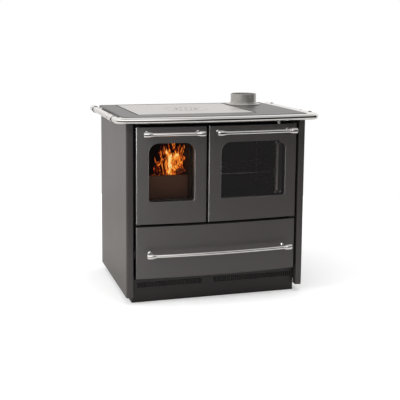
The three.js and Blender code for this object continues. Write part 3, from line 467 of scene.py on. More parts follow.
def tube_tree():
    """Round tube along the edges of a path."""
    group = geometry_tree("tube_along_path", [
        ("Radius", "NodeSocketFloat", 0.01),
        ("Sides", "NodeSocketInt", 32),
        ("Material", "NodeSocketMaterial", None),
    ])
    t = Tree(group)
    given = t.node("NodeGroupInput").outputs
    path = t.node("GeometryNodeMeshToCurve", {"Mesh": given["Geometry"]}).outputs["Curve"]
    section = t.node("GeometryNodeCurvePrimitiveCircle", {
        "Resolution": given["Sides"], "Radius": given["Radius"],
    })
    tube = t.node("GeometryNodeCurveToMesh", {
        "Curve": path, "Profile Curve": section.outputs["Curve"], "Fill Caps": True,
    }).outputs["Mesh"]
    smooth = t.node("GeometryNodeSetShadeSmooth", {"Geometry": tube}).outputs["Geometry"]
    finish_tree(t, smooth, given["Material"])
    return group


def copies_tree():
    """The same small part at every point, turned by the point's own turn."""
    group = geometry_tree("copies_on_points", [
        ("Part", "NodeSocketObject", None), ("Material", "NodeSocketMaterial", None),
    ])
    t = Tree(group)
    given = t.node("NodeGroupInput").outputs
    part = t.node("GeometryNodeObjectInfo", {"Object": given["Part"], "As Instance": True})
    turn = t.node("GeometryNodeInputNamedAttribute", {"Name": "turn"}, data_type="FLOAT_VECTOR")
    copies = t.node("GeometryNodeInstanceOnPoints", {
        "Points": given["Geometry"], "Instance": part.outputs["Geometry"],
        "Rotation": turn.outputs["Attribute"],
    })
    finish_tree(t, copies.outputs["Instances"], given["Material"])
    return group


TUBE = tube_tree()
COPIES = copies_tree()


def bake(source, tree, name, **values):
    """Run a geometry node tree on the source and keep the result as a plain mesh."""
    modifier = source.modifiers.new("build", "NODES")
    modifier.node_group = tree
    for item in tree.interface.items_tree:
        if item.item_type == "SOCKET" and item.in_out == "INPUT" and item.name in values:
            modifier[item.identifier] = values[item.name]
    graph = bpy.context.evaluated_depsgraph_get()
    mesh = bpy.data.meshes.new_from_object(source.evaluated_get(graph), depsgraph=graph)
    mesh.name = name
    bpy.data.objects.remove(source)
    piece = bpy.data.objects.new(name, mesh)
    bpy.context.collection.objects.link(piece)
    return piece


def loose_points(name, points, edges=(), turns=None):
    """A source mesh of bare points, for a path or for the places of copies."""
    mesh = bpy.data.meshes.new(name)
    mesh.from_pydata([tuple(p) for p in points], list(edges), [])
    if turns is not None:
        attribute = mesh.attributes.new("turn", "FLOAT_VECTOR", "POINT")
        for i, turn in enumerate(turns):
            attribute.data[i].vector = turn
    source = bpy.data.objects.new(name, mesh)
    bpy.context.collection.objects.link(source)
    return source


def tube_along(name, points, radius, material, sides=32, closed=False):
    """Round tube through the points, open or joined end to end."""
    edges = [(i, i + 1) for i in range(len(points) - 1)]
    if closed:
        edges.append((len(points) - 1, 0))
    source = loose_points(name + "_path", points, edges)
    return bake(source, TUBE, name, Radius=radius, Sides=sides, Material=material)


def copies_at(name, part, points, material):
    """The part at every point, all standing the same way."""
    source = loose_points(name + "_points", points, turns=[(0.0, 0.0, 0.0)] * len(points))
    piece = bake(source, COPIES, name, Part=part, Material=material)
    bpy.data.objects.remove(part)
    return piece


def join(name, pieces):
    """One object from several, each already in its place."""
    work = bmesh.new()
    material = pieces[0].data.materials[0]
    for piece in pieces:
        work.from_mesh(piece.data)
        bpy.data.objects.remove(piece)
    mesh = bpy.data.meshes.new(name)
    work.to_mesh(mesh)
    work.free()
    mesh.materials.append(material)
    mesh.set_sharp_from_angle(angle=SMOOTH_ANGLE)
    whole = bpy.data.objects.new(name, mesh)
    bpy.context.collection.objects.link(whole)
    return whole


RAIL_RADIUS = 0.014
RAIL_HALF = 0.473
RAIL_HEIGHT = 0.8466
RAIL_STANDOFF = 0.0447      # from the bowed fronts to the rail's middle
RAIL_BACK = 0.606 + SHIFT_Y
RAIL_BEND = 0.042
RAIL_JOINT_Y = 0.157 + SHIFT_Y
SIDE_STEPS, BEND_STEPS, BOW_STEPS = 12, 12, 24


def rail_path():
    """Middle of the rail: back to front on each side, round a bend, then along the bow."""
    turn_in = RAIL_HALF - RAIL_BEND
    front = bowed(turn_in, -RAIL_STANDOFF)
    half = []
    for i in range(SIDE_STEPS):
        share = i / SIDE_STEPS
        half.append((RAIL_HALF, RAIL_BACK + (front + RAIL_BEND - RAIL_BACK) * share))
    for i in range(BEND_STEPS + 1):
        a = math.pi / 2 * i / BEND_STEPS
        half.append((turn_in + RAIL_BEND * math.cos(a), front + RAIL_BEND - RAIL_BEND * math.sin(a)))
    for i in range(1, BOW_STEPS + 1):
        x = turn_in * (1 - i / BOW_STEPS)
        half.append((x, bowed(x, -RAIL_STANDOFF)))
    left = [(-x, y) for x, y in half]
    return [Vector((x, y, RAIL_HEIGHT)) for x, y in left + half[-2::-1]]


def make_rail():
    """Towel rail: one bent tube with domed back ends and a ring at each side joint."""
    tube = tube_along("rail_tube", rail_path(), RAIL_RADIUS, chrome)
    r, proud = RAIL_RADIUS, RAIL_RADIUS + 0.0013
    round_end = [(r * math.cos(a), r * math.sin(a)) for a in (math.pi / 2 * i / 8 for i in range(8))]
    dome = [(0.0, -0.002), (r, -0.002)] + round_end + [(0.0, r)]
    ring = [(0.0, -0.0030), (r, -0.0030), (proud, -0.0018), (proud, 0.0018), (r, 0.0030), (0.0, 0.0030)]
    work = bmesh.new()
    for side in (-1, 1):
        turned(work, dome, (side * RAIL_HALF, RAIL_BACK, RAIL_HEIGHT), (0, 1, 0))
        turned(work, ring, (side * RAIL_HALF, RAIL_JOINT_Y, RAIL_HEIGHT), (0, 1, 0))
    piece = join("towel_rail", [tube, mesh_object("rail_ends_and_rings", work, chrome)])
    declare(piece, "stove", "chrome", "rail")


HANDLE_STANDOFF = 0.054     # from the bowed front to the bar's middle
HANDLE_BAR_RADIUS = 0.0085
HANDLE_END_HALF = 0.0205    # half length of a turned end
HANDLE_END_RADIUS = 0.0135
BAR_IN_END = 0.004          # how far the bar reaches into each end
BAR_STEPS = 24
POST_FOOT, POST_NECK = 0.0105, 0.0064


def make_handle(prefix, body, left, right, height):
    """Bar between two turned ends, each on a post that meets the bowed front at a right angle."""
    standoff, end_half, r = HANDLE_STANDOFF, HANDLE_END_HALF, HANDLE_END_RADIUS
    start, end = left + end_half - BAR_IN_END, right - end_half + BAR_IN_END
    path = [Vector((x, bowed(x, -standoff), height)) for x in
            (start + (end - start) * i / BAR_STEPS for i in range(BAR_STEPS + 1))]
    bar = tube_along(prefix + "_bar", path, HANDLE_BAR_RADIUS, chrome)
    declare(bar, body, "chrome", prefix + "_handle_bar")
    for x, toward, side in ((left, 1, "left"), (right, -1, "right")):
        work = bmesh.new()
        profile = [
            (0.0, -end_half), (r * 0.60, -end_half), (r * 0.78, -end_half + 0.0010),
            (r * 0.91, -end_half + 0.0028), (r * 0.98, -end_half + 0.0055), (r, -end_half + 0.0085),
            (r, end_half - 0.0140), (r * 0.97, end_half - 0.0115), (r * 0.87, end_half - 0.0095),
            (r * 0.80, end_half - 0.0080), (r * 0.80, end_half - 0.0020), (r * 0.74, end_half),
            (0.0, end_half),
        ]
        slope = x / FRONT_RADIUS
        along = Vector((toward, toward * slope, 0.0))
        centre = Vector((x, bowed(x, -standoff), height))
        turned(work, profile, centre, along)
        foot_x = x - standoff * x / FRONT_RADIUS
        foot = Vector((foot_x, bowed(foot_x, -0.0003), height))
        outward = (centre - foot).normalized()
        post = [(0.0, 0.0), (POST_FOOT, 0.0), (POST_FOOT, 0.0025), (0.0098, 0.0037), (0.0078, 0.0043),
                (0.0066, 0.0060), (POST_NECK, 0.0090), (POST_NECK, standoff - 0.002), (0.0, standoff - 0.002)]
        turned(work, post, foot, outward, sides=32)
        declare(mesh_object(prefix + "_end_" + side, work, chrome), body, "chrome",
                prefix + "_handle_end_" + side)


BRACKET_FACE = 0.4403       # side of the hob frame, where the stems start
BRACKET_ROWS = ((0.060 + SHIFT_Y, "front"), (0.537 + SHIFT_Y, "rear"))


def make_brackets():
    """Four stems from the hob frame's sides, each ending in a ring round the rail."""
    inner, outer, half, chamfer = RAIL_RADIUS + 0.0003, RAIL_RADIUS + 0.0034, 0.0065, 0.0008
    ring = [(inner, -half), (outer - chamfer, -half), (outer, -half + chamfer), (outer, half - chamfer),
            (outer - chamfer, half), (inner, half), (inner, -half)]
    reach = RAIL_HALF - inner - BRACKET_FACE - 0.0012
    stem = [(0.0, 0.0), (0.008, 0.0), (0.008, 0.002), (0.0068, 0.0032), (0.006, 0.005),
            (0.006, reach), (0.0, reach)]
    for side, hand in ((-1, "left"), (1, "right")):
        for y, where in BRACKET_ROWS:
            work = bmesh.new()
            turned(work, ring, (side * RAIL_HALF, y, RAIL_HEIGHT), (0, 1, 0))
            turned(work, stem, (side * BRACKET_FACE, y, RAIL_HEIGHT), (side, 0, 0), sides=28)
            bmesh.ops.remove_doubles(work, verts=work.verts, dist=TOUCH)
            name = "bracket_" + where + "_" + hand
            declare(mesh_object(name, work, chrome), "stove", "chrome", "rail_" + name)


KNOB_PLACE = (0.287, SHIFT_Y - 0.0043, 0.822)
KNOB_RADIUS = 0.007
COLLAR_PLACE = (0.303, 0.507 + SHIFT_Y, HOB_TOP)
COLLAR_BORE = 0.0625
COLLAR_RADIUS = 0.066


def make_damper_knob():
    """Small turned pull over the oven door."""
    work = bmesh.new()
    k = KNOB_RADIUS
    profile = [
        (0.0, 0.0), (k * 0.55, 0.0), (k * 0.58, 0.003), (k * 0.72, 0.005), (k * 0.93, 0.0066),
        (k, 0.0085), (k, 0.0115), (k * 0.92, 0.0134), (k * 0.7, 0.0148), (k * 0.35, 0.0154),
        (0.0, 0.0155),
    ]
    turned(work, profile, KNOB_PLACE, (0, -1, 0), sides=32)
    declare(mesh_object("damper_pull", work, chrome), "damper", "chrome", "damper_knob")


def make_flue_collar():
    """Short pipe end on a flat foot flange, with a rolled rim."""
    work = bmesh.new()
    bore, r = COLLAR_BORE, COLLAR_RADIUS
    profile = [
        (bore, 0.0003), (0.087, 0.0003), (0.088, 0.0012), (0.088, 0.0036), (0.0868, 0.005), (0.0705, 0.005),
        (0.0695, 0.0062), (0.0695, 0.0105), (0.0680, 0.012), (r, 0.0124), (r, 0.0500), (r + 0.0004, 0.0515),
        (r + 0.0002, 0.0556), (r - 0.0008, 0.0566), (bore + 0.0006, 0.0566), (bore, 0.0558), (bore, 0.0003),
    ]
    turned(work, profile, COLLAR_PLACE, (0, 0, 1), sides=96)
    bmesh.ops.remove_doubles(work, verts=work.verts, dist=TOUCH)
    declare(mesh_object("stove_pipe_collar", work, collar_iron), "stove", "cast_iron", "flue_collar")


DOOR_HANDLE_HEIGHT = 0.786
DRAWER_HANDLE_HEIGHT = 0.2392

make_rail()
make_handle("fire_door", "fire_door", -0.342, -0.1032, DOOR_HANDLE_HEIGHT)
make_handle("oven_door", "oven_door", -0.0086, 0.342, DOOR_HANDLE_HEIGHT)
make_handle("drawer", "drawer", -0.327, 0.327, DRAWER_HANDLE_HEIGHT)
make_brackets()
make_damper_knob()
make_flue_collar()


# ------------------------------------------------------------------ window rims, hob seams and small parts
WINDOW_TOP_RADIUS, WINDOW_BOTTOM_RADIUS = 0.046, 0.012
LIP_RADIUS = 0.00122
LIP_STEP = 0.02             # longest straight stretch of a lip


def window_outline(left, right, bottom, top, top_radius, bottom_radius):
    """Outline of a door window as (x, z) pairs, anticlockwise from the lower right corner."""
    corners = [
        (right - bottom_radius, bottom + bottom_radius, bottom_radius, -90),
        (right - top_radius, top - top_radius, top_radius, 0),
        (left + top_radius, top - top_radius, top_radius, 90),
        (left + bottom_radius, bottom + bottom_radius, bottom_radius, 180),
    ]
    outline = []
    for x, z, radius, start in corners:
        steps = 6 if radius < 0.03 else 12
        for i in range(steps + 1):
            a = math.radians(start + 90 * i / steps)
            outline.append((x + radius * math.cos(a), z + radius * math.sin(a)))
    return outline


def make_window_rim(name, body, left, right, bottom, top):
    """Rounded lip where the door front turns in around its window."""
    lip = LIP_RADIUS
    outline = window_outline(left, right, bottom, top, WINDOW_TOP_RADIUS, WINDOW_BOTTOM_RADIUS)
    points = []
    for (x0, z0), (x1, z1) in zip(outline, outline[1:] + outline[:1]):
        cuts = max(1, int(math.hypot(x1 - x0, z1 - z0) / LIP_STEP))
        for i in range(cuts):
            x, z = x0 + (x1 - x0) * i / cuts, z0 + (z1 - z0) * i / cuts
            points.append(Vector((x, bowed(x, lip), z)))
    declare(tube_along(name, points, lip, casing_paint, sides=16, closed=True), body, "casing")


make_window_rim("fire_window_lip", "fire_door", -0.328, -0.1162, 0.473, 0.741)
make_window_rim("oven_window_lip", "oven_door", 0.008, 0.329, 0.477, 0.739)


RING_CENTRE = (-0.0625, 0.322 + SHIFT_Y)
RING_EDGE = (0.1053, 0.1058)    # inner and outer radius of the painted shade in the gap at the ring's rim
LID_EDGE = (0.0643, 0.0649)
SHADE_DEPTH = 0.001
DIMPLE_COUNT = 12
DIMPLE_CIRCLE = 0.051
CUP_RADIUS = 0.0050


def make_gap_shade(name, body, edge):
    """Painted shade: a thin dark band in the gap round the ring or the lid, riding on the piece that lifts.
    """
    inner, outer = edge
    top = HOB_TOP + 0.0001
    base = top - SHADE_DEPTH
    work = bmesh.new()
    profile = [(inner, base), (outer, base), (outer, top), (inner, top), (inner, base)]
    turned(work, profile, (*RING_CENTRE, 0.0), (0, 0, 1), sides=72)
    bmesh.ops.remove_doubles(work, verts=work.verts, dist=TOUCH)
    declare(mesh_object(name, work, hob_seal_rope, smooth=False), body)


def make_dimple_shade():
    """Painted shade in the twelve dimples of the lid: a dark cup in each."""
    work = bmesh.new()
    profile = [(0.0, -SHADE_DEPTH), (CUP_RADIUS, -SHADE_DEPTH), (CUP_RADIUS, 0.0), (0.0, 0.0)]
    turned(work, profile, (0, 0, 0), (0, 0, 1), sides=16)
    cup = mesh_object("dimple_cup", work, hob_seal_rope, smooth=False)
    angles = [(i + 0.5) / DIMPLE_COUNT * 2 * math.pi for i in range(DIMPLE_COUNT)]
    points = [(RING_CENTRE[0] + DIMPLE_CIRCLE * math.cos(a), RING_CENTRE[1] + DIMPLE_CIRCLE * math.sin(a),
               HOB_TOP + 0.0003) for a in angles]
    declare(copies_at("lid_dimple_cups", cup, points, hob_seal_rope), "hob_lid")


make_gap_shade("ring_edge_soot", "hob_ring", RING_EDGE)
make_gap_shade("lid_edge_soot", "hob_lid", LID_EDGE)
make_dimple_shade()


def plate(work, left, right, near, far, bottom, top):
    """Plain rectangular block, given by its six faces."""
    corners = bmesh.ops.create_cube(work, size=1.0)["verts"]
    bmesh.ops.scale(work, vec=(right - left, far - near, top - bottom), verts=corners)
    middle = ((left + right) / 2, (near + far) / 2, (bottom + top) / 2)
    bmesh.ops.translate(work, vec=middle, verts=corners)


def make_seam_shade():
    """Painted shade in the gap between the hot plate and its frame: four black strips that lap both."""
    work = bmesh.new()
    gap, lap, depth = 0.003, 0.0016, 0.002
    left, right, front, back = -0.355, 0.208, 0.085 + SHIFT_Y, 0.590 + SHIFT_Y
    outer = gap + lap
    top = HOB_TOP + 0.0002
    for x0, x1, y0, y1 in (
        (left - outer, left + lap, front - outer, back + outer),
        (right - lap, right + outer, front - outer, back + outer),
        (left + lap, right - lap, front - outer, front + lap),
        (left + lap, right - lap, back - lap, back + outer),
    ):
        plate(work, x0, x1, y0, y1, top - depth, top)
    declare(mesh_object("hob_plate_seal", work, hob_seal_rope, smooth=False), "stove")


make_seam_shade()


CLAMP_SPAN = (0.2805, 0.3165)     # left and right edge of the dark base, a clamp plate that also stands for painted shade beside the ridge
STRIP_SPAN = (0.2870, 0.2975)
STRIP_THICKNESS = 0.0006
SCREW_COLUMNS = (0.2855, 0.3110)


def make_glass_retainer():
    """Clamp of the oven glass at its right edge: a bright ridge on a dark base, with four screws. The base's
    black is partly the clamp and partly painted shade beside the ridge.
    """
    bottom, top = 0.4875, 0.7300
    y = SHIFT_Y + 0.0072
    face = y + STRIP_THICKNESS
    base = bmesh.new()
    plate(base, *CLAMP_SPAN, face, face + 0.0008, bottom - 0.004, top + 0.004)
    declare(mesh_object("oven_glass_clamp", base, black_paint, smooth=False), "oven_door")
    ridge = bmesh.new()
    plate(ridge, *STRIP_SPAN, y, face, bottom + 0.010, top - 0.010)
    declare(mesh_object("oven_glass_strip", ridge, strip_steel, smooth=False), "oven_door")
    head = bmesh.new()
    dome = [(0.0, -0.001), (0.0030, -0.001), (0.0030, 0.0002), (0.0024, 0.0006), (0.0012, 0.0009),
            (0.0, 0.0009)]
    turned(head, dome, (0, 0, 0), (0, -1, 0), sides=14)
    points = [(x, face, z) for z in (top - 0.003, bottom + 0.003) for x in SCREW_COLUMNS]
    screw = mesh_object("screw_head", head, chrome)
    declare(copies_at("oven_clamp_screws", screw, points, chrome), "oven_door")


make_glass_retainer()


# ------------------------------------------------------------------ the fire
FIRE_CENTRE = (-0.192, 0.635)   # x and z of the hottest place
FIRE_HALF = (0.080, 0.110)
FIRE_NEAR, FIRE_FAR = 0.09 + SHIFT_Y, 0.20 + SHIFT_Y
STREAK_SCALE = (40.0, 18.0, 13.0)
TONGUES = 26
TONGUE_SIDES, TONGUE_STEPS = 14, 26
TONGUE_BASE, SHORT_TONGUE_BASE = 0.572, 0.606
TONGUE_TOP = 0.742
LOGS = (
    # start x, y, z, end x, y, z, radius; y from the fronts' plane
    (-0.300, 0.155, 0.512, -0.150, 0.140, 0.512, 0.030),
    (-0.300, 0.240, 0.512, -0.146, 0.255, 0.516, 0.034),
    (-0.270, 0.140, 0.548, -0.165, 0.290, 0.575, 0.024),
    (-0.176, 0.092, 0.588, -0.134, 0.104, 0.602, 0.013),
)


def flame_material():
    """Glowing tongues: thin pale yellow streaks in orange, fading to dark red at the sides and the tips."""
    material = bpy.data.materials.new("flame_glow")
    material.use_nodes = True
    t = Tree(material.node_tree)
    shader = material.node_tree.nodes["Principled BSDF"]
    place = t.node("ShaderNodeTexCoord").outputs["Object"]
    stretched = t.node("ShaderNodeMapping", {"Vector": place, "Scale": STREAK_SCALE}).outputs[0]
    streaks = t.node("ShaderNodeTexNoise", {
        "Vector": stretched, "Scale": 1.0, "Detail": 4.0, "Distortion": 2.4,
    }).outputs["Fac"]
    parts = t.node("ShaderNodeSeparateXYZ", {0: place}).outputs
    aside = t.node("ShaderNodeMath", {0: parts["X"], 1: -FIRE_CENTRE[0]}, operation="ADD").outputs[0]
    raised = t.node("ShaderNodeMath", {0: parts["Z"], 1: -FIRE_CENTRE[1]}, operation="ADD").outputs[0]
    wide = t.node("ShaderNodeMath", {0: aside, 1: FIRE_HALF[0]}, operation="DIVIDE").outputs[0]
    tall = t.node("ShaderNodeMath", {0: raised, 1: FIRE_HALF[1]}, operation="DIVIDE").outputs[0]
    around = t.node("ShaderNodeCombineXYZ", {"X": wide, "Y": tall}).outputs[0]
    spread = t.node("ShaderNodeVectorMath", {0: around}, operation="LENGTH").outputs["Value"]
    cooling = t.node("ShaderNodeMapRange", {"Value": spread, "From Min": 0.2, "From Max": 1.2,
                                            "To Min": 0.06, "To Max": -0.12}).outputs[0]
    hidden = t.node("ShaderNodeMapRange", {"Value": parts["Y"], "From Min": FIRE_NEAR, "From Max": FIRE_FAR,
                                           "To Min": 0.02, "To Max": -0.11}).outputs[0]
    nearer = t.node("ShaderNodeMath", {0: cooling, 1: hidden}, operation="ADD").outputs[0]
    heat = t.node("ShaderNodeMath", {0: streaks, 1: nearer}, operation="ADD").outputs[0]
    glow = ramp(t, heat, [
        (0.38, (0.004, 0.0, 0.0)),
        (0.45, (0.10, 0.010, 0.002)),
        (0.50, (0.50, 0.075, 0.008)),
        (0.56, (0.95, 0.24, 0.022)),
        (0.63, (1.0, 0.46, 0.07)),
        (0.72, (1.0, 0.80, 0.36)),
    ])
    shader.inputs["Base Color"].default_value = (0.0, 0.0, 0.0, 1.0)
    shader.inputs["Roughness"].default_value = 1.0
    shader.inputs["Specular IOR Level"].default_value = 0.0
    t.plug(glow, shader.inputs["Emission Color"])
    shader.inputs["Emission Strength"].default_value = 1.0
    return material


def ember_material():
    """Charred wood with a glow in its cracks."""
    material = bpy.data.materials.new("charred_wood")
    material.use_nodes = True
    t = Tree(material.node_tree)
    shader = material.node_tree.nodes["Principled BSDF"]
    place = t.node("ShaderNodeTexCoord").outputs["Object"]
    cracks = t.node("ShaderNodeTexVoronoi", {"Vector": place, "Scale": 90.0}, feature="DISTANCE_TO_EDGE")
    glow = ramp(t, cracks.outputs["Distance"], [
        (0.0, (0.9, 0.16, 0.02)), (0.05, (0.12, 0.01, 0.0)), (0.12, (0.0, 0.0, 0.0)),
    ])
    shader.inputs["Base Color"].default_value = (0.012, 0.009, 0.007, 1.0)
    shader.inputs["Roughness"].default_value = 0.9
    t.plug(glow, shader.inputs["Emission Color"])
    shader.inputs["Emission Strength"].default_value = 0.5
    return material


def tongue(work, base, lean, height, width, phase):
    """One closed flame: a flattened, wandering drop that ends in a point."""
    sides, steps = TONGUE_SIDES, TONGUE_STEPS
    points, radii = [], []
    for i in range(steps + 1):
        s = i / steps
        swell = max(0.0, math.sin(math.pi * min(1.0, s * 0.86 + 0.14)) ** 0.8) * (1 - 0.35 * s)
        sway = Vector((
            math.sin(phase + s * 5.5) * 0.013 * (0.3 + s) + lean[0] * s * s,
            math.cos(phase * 1.7 + s * 4.1) * 0.006 * s + lean[1] * s * s,
            0.0,
        ))
        points.append(base + sway + Vector((0, 0, height * s)))
        radii.append(max(0.0004, width * swell))
    rings = []
    for i, (point, radius) in enumerate(zip(points, radii)):
        ring = []
        for k in range(sides):
            a = 2 * math.pi * k / sides
            spot = Vector((math.cos(a) * 1.3 + phase, math.sin(a) * 1.3, i * 0.23))
            ragged = 1 + 0.28 * noise.noise(spot)
            offset = Vector((math.cos(a) * radius * ragged, math.sin(a) * radius * 0.5 * ragged, 0))
            ring.append(work.verts.new(point + offset))
        rings.append(ring)
    for first, second in zip(rings, rings[1:]):
        for k in range(sides):
            work.faces.new((first[k], first[(k + 1) % sides], second[(k + 1) % sides], second[k]))
    work.faces.new(rings[0][::-1])
    work.faces.new(rings[-1])


def make_fire():
    """A row of flames over four charred logs."""
    random.seed(11)
    work = bmesh.new()
    for i in range(TONGUES):
        across = (i + 0.5) / TONGUES * 2 - 1
        x = FIRE_CENTRE[0] + FIRE_HALF[0] * 0.80 * across
        y = random.uniform(0.082, 0.200)
        top = TONGUE_TOP - 0.020 * across ** 2 - random.uniform(0.0, 0.022)
        if i % 3 == 1:
            top -= random.uniform(0.03, 0.08)
        if across < -0.72:
            top -= 0.060
        base = TONGUE_BASE if across < 0.6 else SHORT_TONGUE_BASE
        tongue(work, Vector((x, y + SHIFT_Y, base)), (-0.010 * across, 0.0), top - base,
               random.uniform(0.0075, 0.0165), random.uniform(0.0, 6.28))
    fire = mesh_object("flames", work, flame_material())
    declare(fire, "stove")
    charred = ember_material()
    logs = bmesh.new()
    for x0, y0, z0, x1, y1, z1, radius in LOGS:
        start, end = Vector((x0, y0 + SHIFT_Y, z0)), Vector((x1, y1 + SHIFT_Y, z1))
        path = [start.lerp(end, i / 8) for i in range(9)]
        knotty = [radius * (1 + 0.05 * math.sin(i * 1.9 + radius * 90)) for i in range(9)]
        sweep(logs, path, knotty, sides=18)
    declare(mesh_object("burning_logs", logs, charred), "stove")


make_fire()


# ------------------------------------------------------------------ floor, backdrop and light
FLOOR_RADIUS = 2.3
LIFT_START = 1.1            # radius from which the floor's own light grows
FLOOR_LIFT, RIM_LIFT = 0.34, 0.8
FLOOR_COLOUR = (0.85, 0.85, 0.85, 1.0)
# Floor colour as glossy rays see it: a painted pool of light, pale near the stove and near black at the rim.
MIRRORED_FLOOR = (0.56, 0.55, 0.54, 1.0)
MIRRORED_RIM = (0.05, 0.05, 0.05, 1.0)
PLINTH_HALF = 0.397
PLINTH_MIDDLE = 0.04
PLINTH_DEPTH = 0.54


def floor_material():
    """Pale floor that reads as white in the picture and still takes the soft shadow of the stove."""
    material = bpy.data.materials.new("studio_white")
    material.use_nodes = True
    t = Tree(material.node_tree)
    shader = material.node_tree.nodes["Principled BSDF"]
    shader.inputs["Roughness"].default_value = 0.9
    shader.inputs["Specular IOR Level"].default_value = 0.0
    shader.inputs["Emission Color"].default_value = (1.0, 1.0, 1.0, 1.0)
    place = t.node("ShaderNodeTexCoord").outputs["Object"]
    parts = t.node("ShaderNodeSeparateXYZ", {0: place}).outputs
    aside = t.node("ShaderNodeMath", {0: parts["X"]}, operation="ABSOLUTE").outputs[0]
    beside = t.node("ShaderNodeMath", {0: aside, 1: PLINTH_HALF}, operation="GREATER_THAN").outputs[0]
    past = t.node("ShaderNodeMath", {0: parts["Y"], 1: PLINTH_MIDDLE}, operation="SUBTRACT").outputs[0]
    away = t.node("ShaderNodeMath", {0: past}, operation="ABSOLUTE").outputs[0]
    outside = t.node("ShaderNodeMath", {0: away, 1: PLINTH_DEPTH / 2}, operation="GREATER_THAN").outputs[0]
    open_floor = t.node("ShaderNodeMath", {0: beside, 1: outside}, operation="MAXIMUM").outputs[0]
    path = t.node("ShaderNodeLightPath").outputs
    ahead = t.node("ShaderNodeMath", {0: parts["Y"], 1: -FLOOR_RADIUS}, operation="DIVIDE").outputs[0]
    # Painted pool of light, seen only in reflections.
    pool = ramp(t, ahead, [(0.50, MIRRORED_FLOOR), (0.72, MIRRORED_RIM)])
    colour = t.node("ShaderNodeMix", {"Factor": path["Is Glossy Ray"]}, data_type="RGBA")
    colour.inputs[6].default_value = FLOOR_COLOUR
    t.plug(pool, colour.inputs[7])
    t.plug(colour.outputs[2], shader.inputs["Base Color"])
    straight = t.node("ShaderNodeMath", {0: path["Is Camera Ray"], 1: path["Is Transmission Ray"]},
                      operation="MAXIMUM").outputs[0]
    wanted = t.node("ShaderNodeMath", {0: straight, 1: open_floor}, operation="MULTIPLY").outputs[0]
    reach = t.node("ShaderNodeVectorMath", {0: place}, operation="LENGTH").outputs["Value"]
    fill = t.node("ShaderNodeMapRange", {"Value": reach, "From Min": LIFT_START, "From Max": FLOOR_RADIUS,
                                         "To Min": FLOOR_LIFT, "To Max": RIM_LIFT}).outputs[0]
    lift = t.node("ShaderNodeMath", {0: wanted, 1: fill}, operation="MULTIPLY")
    t.plug(lift.outputs[0], shader.inputs["Emission Strength"])
    return material


def make_stage():
    """The floor disc."""
    work = bmesh.new()
    bmesh.ops.create_circle(work, cap_ends=True, segments=96, radius=FLOOR_RADIUS)
    floor = mesh_object("studio_floor", work, floor_material(), smooth=False)


SOFT_STRENGTH = 0.5
OVERHEAD = (0.40, 0.40, 0.40)
DIM_WALL = (0.55, 0.54, 0.53)
BRIGHT_WALL = (1.3, 1.27, 1.24)
NONE, FULL = (0.0, 0.0, 0.0), (1.0, 1.0, 1.0)


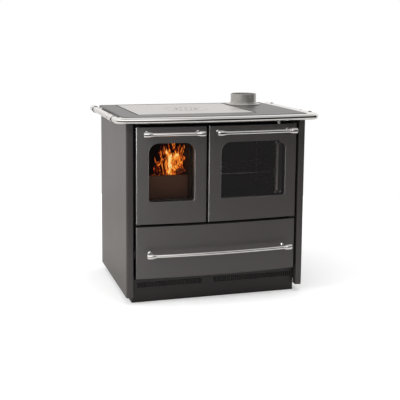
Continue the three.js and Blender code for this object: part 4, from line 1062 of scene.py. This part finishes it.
def make_world():
    """Plain white to the camera, soft white to painted faces, and a room for gloss to mirror.

    The room has a pale backdrop behind the stove, a bright wall at the front left and a dim
    one at the front right.
    """
    world = bpy.data.worlds.new("studio_world")
    bpy.context.scene.world = world
    world.use_nodes = True
    t = Tree(world.node_tree)
    nodes = world.node_tree.nodes
    soft = nodes["Background"]
    soft.inputs["Color"].default_value = (1.0, 1.0, 1.0, 1.0)
    soft.inputs["Strength"].default_value = SOFT_STRENGTH
    white = t.node("ShaderNodeBackground", {"Color": (1.0, 1.0, 1.0, 1.0), "Strength": 1.0})
    direction = t.node("ShaderNodeTexCoord").outputs["Generated"]
    parts = t.node("ShaderNodeSeparateXYZ", {0: direction}).outputs
    dim_side = ramp(t, parts["Z"], [
        (0.0, (0.02, 0.02, 0.02)), (0.34, (0.03, 0.03, 0.03)), (0.46, DIM_WALL), (0.80, DIM_WALL),
        (1.0, OVERHEAD),
    ])
    left_side = ramp(t, parts["Z"], [
        (0.0, (0.06, 0.06, 0.06)), (0.12, (0.16, 0.16, 0.16)), (0.26, BRIGHT_WALL), (0.60, BRIGHT_WALL),
        (1.0, OVERHEAD),
    ])
    leftward = t.node("ShaderNodeMath", {0: 0.5, 1: parts["X"]}, operation="SUBTRACT").outputs[0]
    left_box = ramp(t, leftward, [(0.22, NONE), (0.42, FULL)])
    front_room = t.node("ShaderNodeMix", {"Factor": left_box}, data_type="RGBA")
    t.plug(dim_side, front_room.inputs[6])
    t.plug(left_side, front_room.inputs[7])
    rearward = t.node("ShaderNodeMath", {0: parts["Y"], 1: 0.5}, operation="ADD").outputs[0]
    backdrop = ramp(t, rearward, [(0.40, NONE), (0.80, FULL)])
    room = t.node("ShaderNodeMix", {"Factor": backdrop}, data_type="RGBA")
    t.plug(front_room.outputs[2], room.inputs[6])
    sweep_wall = ramp(t, parts["Z"], [(0.0, (0.72, 0.70, 0.69)), (0.25, (0.95, 0.93, 0.92))])
    t.plug(sweep_wall, room.inputs[7])
    mirrored = t.node("ShaderNodeBackground", {"Color": room.outputs[2], "Strength": 1.0})
    path = t.node("ShaderNodeLightPath").outputs
    mirrored_once = t.node("ShaderNodeMath", {0: path["Glossy Depth"], 1: 1.0}, operation="MINIMUM")
    first = t.node("ShaderNodeMixShader", {"Fac": mirrored_once.outputs[0]})
    t.plug(soft.outputs[0], first.inputs[1])
    t.plug(mirrored.outputs[0], first.inputs[2])
    bounces = t.node("ShaderNodeMath", {0: path["Glossy Depth"], 1: path["Diffuse Depth"]}).outputs[0]
    straight = t.node("ShaderNodeMath", {0: bounces, 1: 0.5}, operation="LESS_THAN")
    last = t.node("ShaderNodeMixShader", {"Fac": straight.outputs[0]})
    t.plug(first.outputs[0], last.inputs[1])
    t.plug(white.outputs[0], last.inputs[2])
    t.plug(last.outputs[0], nodes["World Output"].inputs["Surface"])


def area_lamp(name, place, target, size, energy, seen_in_gloss=False):
    """Flat rectangular lamp: it lights either painted faces or their gloss, never both."""
    data = bpy.data.lights.new(name, "AREA")
    data.shape = "RECTANGLE"
    data.size, data.size_y = size
    data.energy = energy
    lamp = bpy.data.objects.new(name, data)
    lamp.visible_glossy = seen_in_gloss
    lamp.visible_diffuse = not seen_in_gloss
    bpy.context.collection.objects.link(lamp)
    lamp.location = place
    aim = Vector(target) - Vector(place)
    lamp.rotation_mode = "QUATERNION"
    lamp.rotation_quaternion = aim.to_track_quat("-Z", "Y")
    return lamp


make_stage()
make_world()
area_lamp("left_window", (-3.0, -0.6, 2.0), (0.0, 0.0, 0.5), (2.0, 2.4), 60.0)
area_lamp("top_box", (0.2, -0.4, 3.2), (0.0, 0.0, 0.4), (2.6, 2.0), 45.0)

# Two lamps reach only the painted fronts, and the second the side panels too.
edge_light = area_lamp("left_strip", (-2.55, -2.2, 1.35), (-0.3, -0.27, 0.6), (0.8, 2.6), 480.0,
                       seen_in_gloss=True)
door_light = area_lamp("door_glow", (-0.8, -1.0, 1.5), (-0.10, -0.27, 0.80), (0.5, 0.4), 4.2)
FRONTS = [name + "_finish" for name in BOWED_FRONTS] + ["fire_window_lip", "oven_window_lip"]
SIDES = ["side_panel_left_finish", "side_panel_right_finish"]
for lamp, lit in ((edge_light, FRONTS), (door_light, FRONTS + SIDES)):
    receivers = bpy.data.collections.new(lamp.name + "_receivers")
    for name in lit:
        receivers.objects.link(bpy.data.objects[name])
    lamp.light_linking.receiver_collection = receivers

bpy.context.scene.view_settings.view_transform = "Standard"
